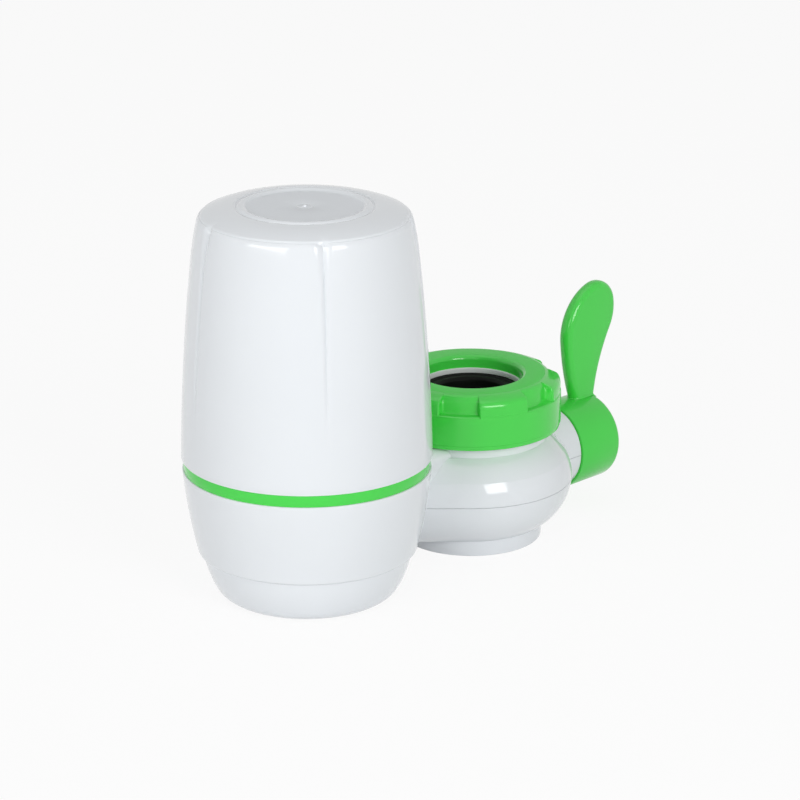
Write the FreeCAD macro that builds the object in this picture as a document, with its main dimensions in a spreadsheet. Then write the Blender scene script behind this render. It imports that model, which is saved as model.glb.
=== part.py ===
"""Faucet mount water filter: a filter tower beside a diverter valve with a union nut.

The frame: +Z up, origin on the tap's axis where the tap's end is seated, +X from the
filter tower towards the lever. All lengths are millimetres. Heights are counted from
the plane that both feet stand on, and each finished piece is set down by cup_floor.
"""
import FreeCAD, Part

import math
import os

import Sketcher

SIZES = {
    # places and clearances that everything shares
    "arm_length": 38.5,           # from the tap's axis to the foot of the tower's base
    "free_gap": 0.3,              # between pieces that move past each other
    "slip_gap": 0.05,             # running fit, all round
    "seat_gap": 0.1,              # between fixed pieces with curved faces
    # tower: base, from its rim inwards
    "base_rim_radius": 37.8,
    "base_flare": 4.3,            # from the rim in to the foot of the base
    "base_side_arc": 160.0,
    "base_wall": 3.0,
    "base_floor_wall": 3.0,
    "spigot_step": 4.9,           # from the base's foot in to the spigot in the cap
    "ring_foot": 40.8,            # height of the shoulder that the accent ring stands on
    "neck_step": 3.2,             # from the rim in to the threaded neck
    "neck_height": 13.2,
    "socket_wall": 3.5,
    "socket_bore": 8.5,           # upright socket for the cartridge's stub
    "socket_depth": 9.2,
    "drain_bore": 4.0,
    "inlet_boss_wall": 2.8,
    "inlet_boss_floor": 2.5,
    # tower: bottom cap
    "cap_step": 0.5,              # from the base's foot in to the cap's rim
    "inlet_clearance": 0.7,       # from the cap's rim up to the nipple
    "cap_flare": 4.6,             # from the rim in to the top of the foot's corner
    "cap_side_arc": 30.0,
    "foot_inset": 5.8,            # from there in to the flat foot
    "foot_corner_radius": 7.0,
    "foot_corner_height": 2.9,
    "cap_wall": 2.2,
    "floor_rise": 1.1,            # from the base's floor up to the cap's rim
    # tower: outlet nozzle
    "nozzle_bore": 5.0,
    "nozzle_wall": 4.0,
    "nozzle_flange_reach": 3.5,
    "nozzle_flange_thick": 2.0,
    "nozzle_mouth": 1.2,          # height of the nozzle's lower end
    "nozzle_ring_cord": 0.9,
    # tower: accent ring and the cover's clip bead
    "ring_height": 3.8,
    "ring_step": 0.35,            # from the base's rim in to the ring
    "clip_half": 0.4,
    "clip_depth": 1.5,
    # tower: cover
    "cover_step": 0.3,            # from the base's rim out to the cover's rim
    "cover_side_arc": 700.0,
    "cover_taper": 4.2,
    "shoulder_height": 118.6,
    "petal_roll_height": 9.6,
    "petal_roll_step": 1.9,
    "petal_roll_arc": 48.0,
    "shoulder_turn_step": 2.4,
    "shoulder_turn_rise": 2.4,
    "shoulder_turn_arc": 3.6,
    "shoulder_width": 8.8,
    "shoulder_crown": 0.9,
    "shoulder_crown_arc": 60.0,
    "plateau_rise": 0.8,
    "plateau_width": 3.0,
    "plateau_dish_depth": 0.5,
    "cover_wall": 2.5,
    "rib_reach": 2.9,
    "rib_thick": 2.0,
    "seal_thick": 2.0,
    "petal_count": 5,
    "petal_start": 18.0,          # angle of the first crease
    "crease_start": 6.0,          # from the neck's top up to the foot of the creases
    "crease_start_inset": 0.4,
    "crease_depth": 0.8,
    "crease_top_depth": 1.3,
    "crease_width": 3.6,          # across the crease where it is crease_depth deep
    "crease_end_inset": 2.6,
    "crease_tool_reach": 3.0,
    # cartridge
    "holder_gap": 5.6,            # from the inside of the neck in to the holder
    "holder_wall": 1.4,
    "holder_floor_thick": 4.5,
    "holder_lip_height": 5.0,
    "stub_end_gap": 0.7,
    "stub_bore": 3.2,
    "washer_inset": 0.4,
    "washer_thick": 0.8,
    "candle_wall": 6.0,
    "candle_headroom": 7.7,
    "candle_crown": 16.0,
    "carbon_gap": 0.3,
    "carbon_bore": 3.2,
    "pad_thick": 2.0,
    # valve shells
    "bowl_height": 14.0,          # from the bowl's foot up to the seam on the core's axis
    "dome_upper_arc": 14.5,
    "dome_break_step": 1.8,
    "dome_break_rise": 7.5,
    "dome_slope_arc": 40.0,
    "dome_slope_rise": 6.3,
    "dome_lower_arc": 17.8,
    "dome_foot_step": 8.4,        # from the bowl's foot out to the dome's side
    "shell_wall": 2.2,
    "seam_gap": 0.15,
    "arm_clearance": 1.0,         # between the side pipe and the shells of the arm
    "arm_edge": 3.0,
    "barrel_clearance": 0.35,     # between the barrel and the shells round it
    # valve block: cup and collar under the nut
    "thread_radius": 23.3,
    "collar_step": 1.0,           # plain collar that shows under the nut
    "collar_height": 3.3,
    "cup_wall": 2.3,
    "cup_drop": 2.4,              # from the collar's top up to the floor of the cup
    "cup_depth": 8.0,
    "waist_step": 2.3,
    "waist_rise": 10.0,
    "waist_low_step": 1.2,        # from the barrel's side out to the waist's foot
    "waist_low_rise": 3.5,
    "inlet_passage": 6.8,
    # valve block: barrel, outlet pipe and side pipe
    "core_bore": 8.0,
    "core_bore_start": -13.0,
    "barrel_wall": 2.8,
    "barrel_end_wall": 4.0,
    "barrel_reach": 3.8,          # from the dome's side out to the barrel's end
    "outlet_pipe_wall": 3.2,
    "outlet_flange_radius": 17.8,
    "outlet_flange_thick": 2.4,
    "outlet_flange_slope": 2.0,
    "outlet_chamber_rim": 3.3,
    "side_pipe_wall": 6.0,
    "side_passage": 2.6,
    "side_pipe_gap": 3.5,         # from the side pipe's end to the tower's base
    "nipple_wall": 1.6,
    "nipple_entry": 6.0,          # how far the nipple goes into the tower's base
    "nipple_end_gap": 0.5,
    "nipple_ring_cord": 0.5,
    "nipple_ring_inset": 2.0,
    "nipple_ring_step": 2.2,
    # strainer
    "strainer_rim": 1.6,
    "strainer_thick": 0.8,
    "strainer_hole": 0.7,
    "strainer_ring_inset": 1.8,
    "strainer_ring_step": 2.4,
    # tap connection
    "nut_wall": 5.1,
    "nut_lip_thick": 4.0,
    "nut_mouth_step": 5.0,
    "nut_flat_step": 2.2,
    "nut_cone_drop": 2.3,
    "nut_crown_arc": 12.0,
    "nut_lug_drop": 5.8,          # from the nut's top down to the foot of the lugs
    "nut_lug_height": 2.9,        # how far the lugs stand out from the drum
    "nut_lug_count": 6,
    "nut_lug_angle": 30.0,
    "nut_first_lug": 5.0,
    "nut_edge": 0.5,
    "adapter_flange_gap": 1.2,
    "adapter_flange_thick": 1.7,
    "adapter_mouth_step": 0.5,
    "adapter_sleeve_wall": 2.7,
    "adapter_sleeve_gap": 2.5,
    "grip_bore": 11.0,
    "grip_chamfer": 0.8,
    # valve core
    "core_end_gap": 0.4,
    "stem_radius": 6.0,
    "stem_reach": 1.0,            # how far the round stem stands out of the barrel
    "drive_side": 8.0,
    "drive_reach": 8.0,           # how far the square goes into the hub
    "core_port": 2.8,
    "port_shift": 3.6,            # from the tap's axis to each port, along the core
    "core_ring_cord": 1.1,
    "core_ring_inset": 2.8,
    "core_ring_middle": 10.0,
    "core_ring_outer": 15.0,
    "gland_length": 7.7,
    "gland_depth": 2.0,
    # lever
    "stub_cover_reach": 1.7,      # from the barrel's end to the shells' end
    "hub_length": 18.5,
    "hub_step": 0.75,             # from the shells' stub out to the hub
    "hub_wall": 2.2,
    "hub_end_wall": 3.6,
    "hub_edge": 2.0,
    "boss_radius": 7.6,
    "boss_inset": 1.2,
    "plug_radius": 5.0,
    "plug_thick": 1.2,
    "screw_head_radius": 3.2,
    "screw_head_thick": 2.0,
    "screw_radius": 1.5,
    "screw_length": 9.0,
    "blade_thick": 5.0,
    "blade_edge": 2.2,
    "blade_root_width": 8.9,
    "blade_waist_rise": 18.4,     # from the hub up to the widest place on the left
    "blade_bend_rise": 20.9,      # from the hub up to where the right side swells
    "blade_spread_left": 4.5,
    "blade_spread_right": 7.5,
    "blade_tip_rise_left": 18.7,
    "blade_tip_rise_right": 11.0,
    "blade_lean_left": 11.4,
    "blade_lean_right": 1.6,
    "blade_left_arc": 80.0,
    "blade_left_upper_arc": 17.5,
    "blade_right_arc": 60.0,
    "blade_right_upper_arc": 14.5,
    "blade_tip_arc": 8.2,
    # outlet under the valve
    "skirt_height": 5.4,
    "skirt_step": 5.1,            # from the outlet flange out to the skirt
    "bowl_step": 0.9,             # from the skirt out to the bowl's foot
    "skirt_taper": 0.4,
    "skirt_edge": 0.8,
    "skirt_lip": 1.9,
    "skirt_spigot_wall": 2.0,
    "skirt_spigot_height": 2.6,
    "plate_inset": 0.6,           # from the skirt's top down to the spray plate's rim
    "plate_rim_step": 1.1,
    "plate_rim_thick": 0.8,
    "plate_drop": 0.9,
    "plate_recess": 0.3,
    "gasket_thick": 0.6,
    "plate_hole": 0.9,
    "plate_hole_pitch": 4.0,
}

doc = FreeCAD.newDocument("FaucetFilter")
sheet = doc.addObject("Spreadsheet::Sheet", "Sizes")
NODES = []


class Term:
    """A length known both as a number and as an expression on the sheet."""

    def __init__(self, value, text):
        self.value = float(value)
        self.text = text

    def __add__(self, other):
        return joined(self, other, "+", self.value + number(other))

    def __radd__(self, other):
        return as_term(other) + self

    def __sub__(self, other):
        return joined(self, other, "-", self.value - number(other))

    def __rsub__(self, other):
        return as_term(other) - self

    def __mul__(self, other):
        return joined(self, other, "*", self.value * number(other))

    def __rmul__(self, other):
        return as_term(other) * self

    def __truediv__(self, other):
        return joined(self, other, "/", self.value / number(other))

    def __neg__(self):
        return Term(-self.value, "(-1 * " + self.text + ")")


def number(value):
    return value.value if isinstance(value, Term) else float(value)


def as_term(value):
    return value if isinstance(value, Term) else Term(value, repr(float(value)))


def joined(left, right, sign, value):
    return Term(value, "(" + left.text + " " + sign + " " + as_term(right).text + ")")


class Sizes:
    """The sheet's cells as terms: sizes.dome_radius and so on."""

    def __init__(self, values):
        for row, (alias, value) in enumerate(values.items(), start=1):
            cell = "B" + str(row)
            sheet.set("A" + str(row), alias)
            sheet.set(cell, str(value))
            sheet.setAlias(cell, alias)
            setattr(self, alias, Term(value, "Sizes." + alias))


sizes = Sizes(SIZES)
doc.recompute()


def follow_heights():
    """Sizes that the rest of the part hangs on: the skirt, the bowl and the seam."""
    sizes.skirt_top = sizes.skirt_height
    sizes.dome_foot_height = sizes.skirt_top + sizes.seat_gap
    sizes.seam_height = sizes.dome_foot_height + sizes.bowl_height
    sizes.nipple_radius = sizes.side_passage + sizes.nipple_wall
    sizes.cap_rim_height = sizes.seam_height - sizes.nipple_radius - sizes.inlet_clearance


def follow_tower():
    """Sizes of the tower, from the rim of its base inwards and upwards."""
    sizes.base_foot_radius = sizes.base_rim_radius - sizes.base_flare
    sizes.tower_spacing = sizes.base_foot_radius + sizes.arm_length
    sizes.neck_radius = sizes.base_rim_radius - sizes.neck_step
    sizes.neck_inner = sizes.neck_radius - sizes.base_wall
    sizes.base_spigot_radius = sizes.base_foot_radius - sizes.spigot_step
    sizes.cap_rim_radius = sizes.base_foot_radius - sizes.cap_step
    sizes.cap_side_low_radius = sizes.cap_rim_radius - sizes.cap_flare
    sizes.foot_flat_radius = sizes.cap_side_low_radius - sizes.foot_inset
    sizes.base_floor_top = sizes.cap_rim_height - sizes.floor_rise
    sizes.neck_top = sizes.ring_foot + sizes.neck_height
    sizes.socket_radius = sizes.socket_bore + sizes.socket_wall
    sizes.socket_floor = sizes.base_floor_top + sizes.base_floor_wall
    sizes.socket_top = sizes.socket_floor + sizes.socket_depth
    sizes.nozzle_radius = sizes.nozzle_bore + sizes.nozzle_wall
    sizes.nozzle_flange = sizes.nozzle_radius + sizes.nozzle_flange_reach
    sizes.nozzle_ring_radius = sizes.nozzle_bore + sizes.nozzle_wall / 2
    sizes.ring_top = sizes.ring_foot + sizes.ring_height
    sizes.ring_radius = sizes.base_rim_radius - sizes.ring_step
    sizes.clip_radius = (sizes.neck_radius + sizes.base_rim_radius) / 2


def follow_cover():
    """Sizes of the cover, from its rim inwards and from its shoulder up and down."""
    sizes.cover_rim_radius = sizes.base_rim_radius + sizes.cover_step
    sizes.petal_top_radius = sizes.cover_rim_radius - sizes.cover_taper
    sizes.petal_top_height = sizes.shoulder_height - sizes.petal_roll_height
    sizes.shoulder_radius = sizes.petal_top_radius - sizes.petal_roll_step
    sizes.shoulder_turn_radius = sizes.shoulder_radius - sizes.shoulder_turn_step
    sizes.shoulder_turn_height = sizes.shoulder_height + sizes.shoulder_turn_rise
    sizes.plateau_radius = sizes.shoulder_turn_radius - sizes.shoulder_width
    sizes.plateau_foot = sizes.shoulder_turn_height + sizes.shoulder_crown
    sizes.plateau_top = sizes.plateau_foot + sizes.plateau_rise
    sizes.plateau_inner = sizes.plateau_radius - sizes.plateau_width
    sizes.plateau_dish = sizes.plateau_top - sizes.plateau_dish_depth
    sizes.rib_radius = sizes.neck_radius + sizes.free_gap - sizes.rib_reach
    sizes.seal_inner = sizes.neck_inner + sizes.free_gap
    sizes.crease_foot = sizes.neck_top + sizes.crease_start
    sizes.crease_foot_radius = sizes.cover_rim_radius - sizes.crease_start_inset
    sizes.crease_end_radius = sizes.shoulder_turn_radius - sizes.crease_end_inset


def follow_cartridge():
    """Sizes of the cartridge, from its socket upwards and inside the neck and cover."""
    sizes.holder_radius = sizes.neck_inner - sizes.holder_gap
    sizes.holder_foot = sizes.socket_top + sizes.washer_thick
    sizes.holder_floor = sizes.holder_foot + sizes.holder_floor_thick
    sizes.holder_lip = sizes.holder_floor + sizes.holder_lip_height
    sizes.stub_radius = sizes.socket_bore - sizes.free_gap
    sizes.stub_foot = sizes.socket_floor + sizes.stub_end_gap
    sizes.washer_radius = sizes.socket_radius - sizes.washer_inset
    sizes.candle_radius = sizes.holder_radius - sizes.holder_wall - sizes.seat_gap
    sizes.candle_top = sizes.plateau_dish - sizes.cover_wall - sizes.candle_headroom
    sizes.candle_side_top = sizes.candle_top - sizes.candle_crown
    sizes.carbon_radius = sizes.candle_radius - sizes.candle_wall - sizes.carbon_gap
    sizes.carbon_top = sizes.candle_side_top


def follow_valve():
    """Sizes of the outlet, the shells and the valve block."""
    sizes.plate_seat = sizes.skirt_top - sizes.plate_inset
    sizes.plate_top = sizes.plate_seat + sizes.plate_rim_thick
    sizes.plate_foot = sizes.plate_seat - sizes.plate_drop
    sizes.plate_rim_radius = sizes.outlet_flange_radius + sizes.seat_gap
    sizes.plate_radius = sizes.plate_rim_radius - sizes.plate_rim_step
    sizes.outlet_flange_foot = sizes.plate_top + sizes.gasket_thick
    sizes.outlet_flange_top = sizes.outlet_flange_foot + sizes.outlet_flange_thick
    sizes.outlet_chamber = sizes.outlet_flange_radius - sizes.outlet_chamber_rim
    sizes.outlet_pipe_radius = sizes.inlet_passage + sizes.outlet_pipe_wall
    sizes.skirt_radius = sizes.outlet_flange_radius + sizes.skirt_step
    sizes.skirt_foot_radius = sizes.skirt_radius - sizes.skirt_taper
    sizes.skirt_recess = sizes.skirt_foot_radius - sizes.skirt_lip
    sizes.skirt_recess_top = sizes.plate_foot - sizes.plate_recess
    sizes.skirt_spigot_inner = sizes.outlet_flange_radius + sizes.seat_gap * 2
    sizes.skirt_spigot_radius = sizes.skirt_spigot_inner + sizes.skirt_spigot_wall
    sizes.skirt_spigot_top = sizes.skirt_top + sizes.skirt_spigot_height
    sizes.dome_foot_radius = sizes.skirt_radius + sizes.bowl_step
    sizes.dome_radius = sizes.dome_foot_radius + sizes.dome_foot_step
    sizes.dome_break_radius = sizes.dome_radius - sizes.dome_break_step
    sizes.dome_break_height = sizes.seam_height + sizes.dome_break_rise
    sizes.dome_top_height = sizes.dome_break_height + sizes.dome_slope_rise
    sizes.collar_radius = sizes.thread_radius + sizes.collar_step
    sizes.collar_top = sizes.dome_top_height + sizes.collar_height
    sizes.cup_floor = sizes.collar_top + sizes.cup_drop
    sizes.cup_top = sizes.cup_floor + sizes.cup_depth
    sizes.cup_radius = sizes.thread_radius - sizes.cup_wall
    sizes.waist_radius = sizes.thread_radius - sizes.waist_step
    sizes.waist_height = sizes.seam_height + sizes.waist_rise
    sizes.waist_low_height = sizes.seam_height + sizes.waist_low_rise
    sizes.arm_top = sizes.collar_top
    sizes.barrel_radius = sizes.core_bore + sizes.barrel_wall
    sizes.barrel_end = sizes.dome_radius + sizes.barrel_reach
    sizes.waist_low_radius = sizes.barrel_radius + sizes.waist_low_step
    sizes.barrel_start = sizes.core_bore_start - sizes.barrel_end_wall
    sizes.side_pipe_radius = sizes.side_passage + sizes.side_pipe_wall
    sizes.side_pipe_end = sizes.side_pipe_gap - sizes.arm_length
    sizes.arm_half = sizes.side_pipe_radius + sizes.arm_clearance + sizes.shell_wall
    sizes.stub_cover_radius = (
        sizes.barrel_radius + sizes.barrel_clearance + sizes.shell_wall)
    sizes.nipple_reach = sizes.arm_length + sizes.nipple_entry
    sizes.nipple_ring_first = (
        sizes.nipple_reach - sizes.nipple_ring_inset - sizes.nipple_ring_step)
    sizes.inlet_stop = sizes.tower_spacing - sizes.nipple_reach - sizes.nipple_end_gap
    sizes.inlet_boss_reach = sizes.inlet_stop - sizes.inlet_boss_floor
    sizes.inlet_boss_radius = sizes.nipple_radius + sizes.inlet_boss_wall


def follow_tap_end():
    """Sizes of the nut, the adapter, the grip ring and the strainer under it."""
    sizes.strainer_radius = sizes.grip_bore + sizes.strainer_rim
    sizes.strainer_ring_outer = sizes.inlet_passage - sizes.strainer_ring_inset
    sizes.strainer_ring_inner = sizes.strainer_ring_outer - sizes.strainer_ring_step
    sizes.nut_bore = sizes.thread_radius + sizes.free_gap
    sizes.nut_radius = sizes.thread_radius + sizes.nut_wall
    sizes.nut_foot = sizes.collar_top + sizes.free_gap
    sizes.adapter_flange_foot = sizes.cup_top + sizes.adapter_flange_gap
    sizes.adapter_sleeve_foot = sizes.cup_floor + sizes.adapter_sleeve_gap
    sizes.nut_lip_foot = sizes.adapter_flange_foot + sizes.adapter_flange_thick
    sizes.nut_top = sizes.nut_lip_foot + sizes.nut_lip_thick
    sizes.nut_mouth = sizes.cup_radius - sizes.nut_mouth_step
    sizes.nut_ledge = sizes.nut_top - sizes.nut_lug_drop
    sizes.nut_drum_radius = sizes.nut_radius - sizes.nut_lug_height
    sizes.nut_flat_radius = sizes.nut_drum_radius - sizes.nut_flat_step
    sizes.nut_cone_foot = sizes.nut_top - sizes.nut_cone_drop
    sizes.adapter_mouth = sizes.nut_mouth - sizes.adapter_mouth_step


def follow_core():
    """Sizes of the valve core and the lever, along the core's axis."""
    sizes.core_start = sizes.core_bore_start + sizes.core_end_gap
    sizes.gland_end = sizes.barrel_end - sizes.gland_depth
    sizes.gland_start = sizes.gland_end - sizes.gland_length
    sizes.core_shoulder = sizes.gland_start - sizes.free_gap
    sizes.stem_end = sizes.barrel_end + sizes.stem_reach
    sizes.core_ring_inner = sizes.core_start + sizes.core_ring_inset
    sizes.raw_port_place = sizes.port_shift
    sizes.filter_port_place = -sizes.port_shift
    sizes.stub_cover_end = sizes.barrel_end + sizes.stub_cover_reach
    sizes.hub_radius = sizes.stub_cover_radius + sizes.hub_step
    sizes.hub_start = sizes.stub_cover_end + sizes.free_gap
    sizes.hub_end = sizes.hub_start + sizes.hub_length
    sizes.boss_start = sizes.hub_start + sizes.boss_inset
    sizes.drive_end = sizes.hub_start + sizes.drive_reach
    sizes.blade_root_right = sizes.hub_end
    sizes.blade_root_left = sizes.blade_root_right - sizes.blade_root_width
    sizes.blade_waist = sizes.blade_root_left - sizes.blade_spread_left
    sizes.blade_waist_height = sizes.hub_radius + sizes.blade_waist_rise
    sizes.blade_bend = sizes.blade_root_right + sizes.blade_spread_right
    sizes.blade_bend_height = sizes.hub_radius + sizes.blade_bend_rise
    sizes.blade_tip_left = sizes.blade_waist + sizes.blade_lean_left
    sizes.blade_tip_left_height = sizes.blade_waist_height + sizes.blade_tip_rise_left
    sizes.blade_tip_right = sizes.blade_bend + sizes.blade_lean_right
    sizes.blade_tip_right_height = sizes.blade_bend_height + sizes.blade_tip_rise_right


follow_heights()
follow_tower()
follow_cover()
follow_cartridge()
follow_valve()
follow_tap_end()
follow_core()


def set_down(node, lift=None):
    """Moves a piece from the plane of the feet to the frame, after a lift of its own."""
    height = -sizes.cup_floor if lift is None else lift - sizes.cup_floor
    node.setExpression("Placement.Base.z", height.text)
    NODES.append(node)


def new_body(label, x=None, lift=None, turned=None):
    """A body with its own label, moved along X, lifted and turned about Z by sizes."""
    body = doc.addObject("PartDesign::Body", "Body_" + label)
    body.Label = label
    if turned is not None:
        body.Placement = FreeCAD.Placement(
            FreeCAD.Vector(0, 0, 0), FreeCAD.Rotation(FreeCAD.Vector(0, 0, 1), number(turned)))
        body.setExpression("Placement.Rotation.Angle", turned.text)
    if x is not None:
        body.setExpression("Placement.Base.x", x.text)
    set_down(body, lift)
    return body


def origin_plane(body, role):
    return [plane for plane in body.Origin.OriginFeatures if plane.Role == role][0]


def new_sketch(body, name, role, offset=(None, None, None)):
    """A sketch on one of the body's origin planes, shifted by sizes in its own axes."""
    sketch = body.newObject("Sketcher::SketchObject", name)
    sketch.AttachmentSupport = [(origin_plane(body, role), "")]
    sketch.MapMode = "FlatFace"
    for axis, shift in zip("xyz", offset):
        if shift is not None:
            sketch.setExpression("AttachmentOffset.Base." + axis, shift.text)
    return sketch


def arc_centre(start, end, radius):
    """Centre of an arc that turns left from start to end, or right for a negative radius."""
    chord = FreeCAD.Vector(end[0] - start[0], end[1] - start[1], 0)
    middle = FreeCAD.Vector((start[0] + end[0]) / 2, (start[1] + end[1]) / 2, 0)
    rise = math.sqrt(max(radius * radius - chord.Length ** 2 / 4, 0.0))
    side = FreeCAD.Vector(-chord.y, chord.x, 0).normalize()
    return middle + side * (rise if radius > 0 else -rise)


def draw_outline(sketch, corners):
    """Closed outline. A corner is (u, v), or (u, v, radius) where an arc leads to it."""
    count = len(corners)
    first = sketch.GeometryCount
    ends = []
    for index, corner in enumerate(corners):
        previous = corners[index - 1]
        start = (number(previous[0]), number(previous[1]))
        end = (number(corner[0]), number(corner[1]))
        if len(corner) == 2:
            line = Part.LineSegment(FreeCAD.Vector(*start, 0), FreeCAD.Vector(*end, 0))
            sketch.addGeometry(line, False)
            ends.append((1, 2))
            continue
        radius = number(corner[2])
        centre = arc_centre(start, end, radius)
        angles = [math.atan2(point[1] - centre.y, point[0] - centre.x) for point in (start, end)]
        if radius < 0:
            angles.reverse()
        if angles[1] < angles[0]:
            angles[1] += 2 * math.pi
        circle = Part.Circle(centre, FreeCAD.Vector(0, 0, 1), abs(radius))
        sketch.addGeometry(Part.ArcOfCircle(circle, *angles), False)
        ends.append((1, 2) if radius > 0 else (2, 1))
    for index in range(count):
        following = (index + 1) % count
        sketch.addConstraint(Sketcher.Constraint(
            "Coincident", first + index, ends[index][1], first + following, ends[following][0]))
    for index, corner in enumerate(corners):
        place_point(sketch, first + index, ends[index][1], corner)
        if len(corner) == 3:
            size = as_term(corner[2]) if number(corner[2]) > 0 else -as_term(corner[2])
            bind(sketch, Sketcher.Constraint("Radius", first + index, size.value), size)


def place_point(sketch, piece, end, point):
    """Ties a point to the sketch's origin by two sizes, or to an axis where one is zero."""
    for kind, axis, value in (("DistanceX", -2, point[0]), ("DistanceY", -1, point[1])):
        if number(value) == 0:
            sketch.addConstraint(Sketcher.Constraint("PointOnObject", piece, end, axis))
            continue
        bind(sketch, Sketcher.Constraint(kind, -1, 1, piece, end, number(value)), as_term(value))


def bind(sketch, constraint, size):
    index = sketch.addConstraint(constraint)
    name = "size_" + str(index)
    sketch.renameConstraint(index, name)
    sketch.setExpression("Constraints." + name, size.text)


def draw_path(sketch, start, legs):
    """Open path of arcs, each given by the point it leads to and its radius."""
    point = start
    before = None
    for end_u, end_v, radius in legs:
        ends = [(number(point[0]), number(point[1])), (number(end_u), number(end_v))]
        centre = arc_centre(ends[0], ends[1], number(radius))
        angles = [math.atan2(place[1] - centre.y, place[0] - centre.x) for place in ends]
        if angles[1] < angles[0]:
            angles[1] += 2 * math.pi
        circle = Part.Circle(centre, FreeCAD.Vector(0, 0, 1), number(radius))
        piece = sketch.addGeometry(Part.ArcOfCircle(circle, *angles), False)
        if before is None:
            place_point(sketch, piece, 1, start)
        else:
            sketch.addConstraint(Sketcher.Constraint("Coincident", before, 2, piece, 1))
        place_point(sketch, piece, 2, (end_u, end_v))
        bind(sketch, Sketcher.Constraint("Radius", piece, number(radius)), as_term(radius))
        point = (end_u, end_v)
        before = piece


def draw_circle(sketch, centre, radius):
    place = FreeCAD.Vector(number(centre[0]), number(centre[1]), 0)
    circle = Part.Circle(place, FreeCAD.Vector(0, 0, 1), number(radius))
    piece = sketch.addGeometry(circle, False)
    place_point(sketch, piece, 3, centre)
    bind(sketch, Sketcher.Constraint("Radius", piece, number(radius)), as_term(radius))


def turn(body, name, corners, axis="V_Axis", cut=False, angle=360.0, up=None):
    """Turns an outline in the XZ plane about Z (V_Axis) or X (H_Axis)."""
    sketch = new_sketch(body, name + "_outline", "XZ_Plane", (None, up, None))
    draw_outline(sketch, corners)
    kind = "PartDesign::Groove" if cut else "PartDesign::Revolution"
    feature = body.newObject(kind, name)
    feature.Profile = sketch
    feature.ReferenceAxis = (sketch, [axis])
    feature.Angle = angle
    doc.recompute()
    return feature


def cord_section(u, v, cord):
    """Corners of a rubber cord's section, pressed flat against its seats on all sides."""
    flat = cord * (math.sqrt(2) - 1)
    return [
        (u + cord, v - flat),
        (u + cord, v + flat),
        (u + flat, v + cord),
        (u - flat, v + cord),
        (u - cord, v + flat),
        (u - cord, v - flat),
        (u - flat, v - cord),
        (u + flat, v - cord),
    ]


def pad(body, name, sketch, length, both_ways=False, cut=False, backwards=False):
    """Extrudes a sketch along its normal, or into the solid where it cuts."""
    feature = body.newObject("PartDesign::Pocket" if cut else "PartDesign::Pad", name)
    feature.Profile = sketch
    feature.setExpression("Length", as_term(length).text)
    if both_ways:
        feature.Midplane = True
    if backwards:
        feature.Reversed = True
    doc.recompute()
    return feature


def repeat(body, name, features, count, axis_plane_sketch):
    """Repeats features evenly around the Z axis."""
    pattern = body.newObject("PartDesign::PolarPattern", name)
    pattern.Originals = features
    pattern.Axis = (axis_plane_sketch, ["N_Axis"])
    pattern.Angle = 360.0
    pattern.setExpression("Occurrences", as_term(count).text)
    body.Tip = pattern
    doc.recompute()
    return pattern


def edges_where(shape, test):
    """Names of the edges whose middle point passes a test."""
    found = []
    for index, edge in enumerate(shape.Edges, start=1):
        middle = edge.valueAt((edge.FirstParameter + edge.LastParameter) / 2)
        if test(edge, middle):
            found.append("Edge" + str(index))
    return found


def round_edges(body, name, base, edge_names, radius):
    fillet = body.newObject("PartDesign::Fillet", name)
    fillet.Base = (base, edge_names)
    fillet.setExpression("Radius", as_term(radius).text)
    doc.recompute()
    return fillet


def tower_body(label, turned=None):
    return new_body(label, x=-sizes.tower_spacing, turned=turned)


def core_body(label):
    return new_body(label, lift=sizes.seam_height)


def tower_side(grow=0.0):
    """Corners of the tower's outside from the foot to the accent ring, grown by a gap."""
    return [
        (sizes.foot_flat_radius + grow, as_term(0.0)),
        (sizes.cap_side_low_radius + grow, sizes.foot_corner_height, sizes.foot_corner_radius),
        (sizes.cap_rim_radius + grow, sizes.cap_rim_height, sizes.cap_side_arc),
        (sizes.base_foot_radius + grow, sizes.cap_rim_height),
        (sizes.base_rim_radius + grow, sizes.ring_foot, sizes.base_side_arc),
    ]


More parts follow.
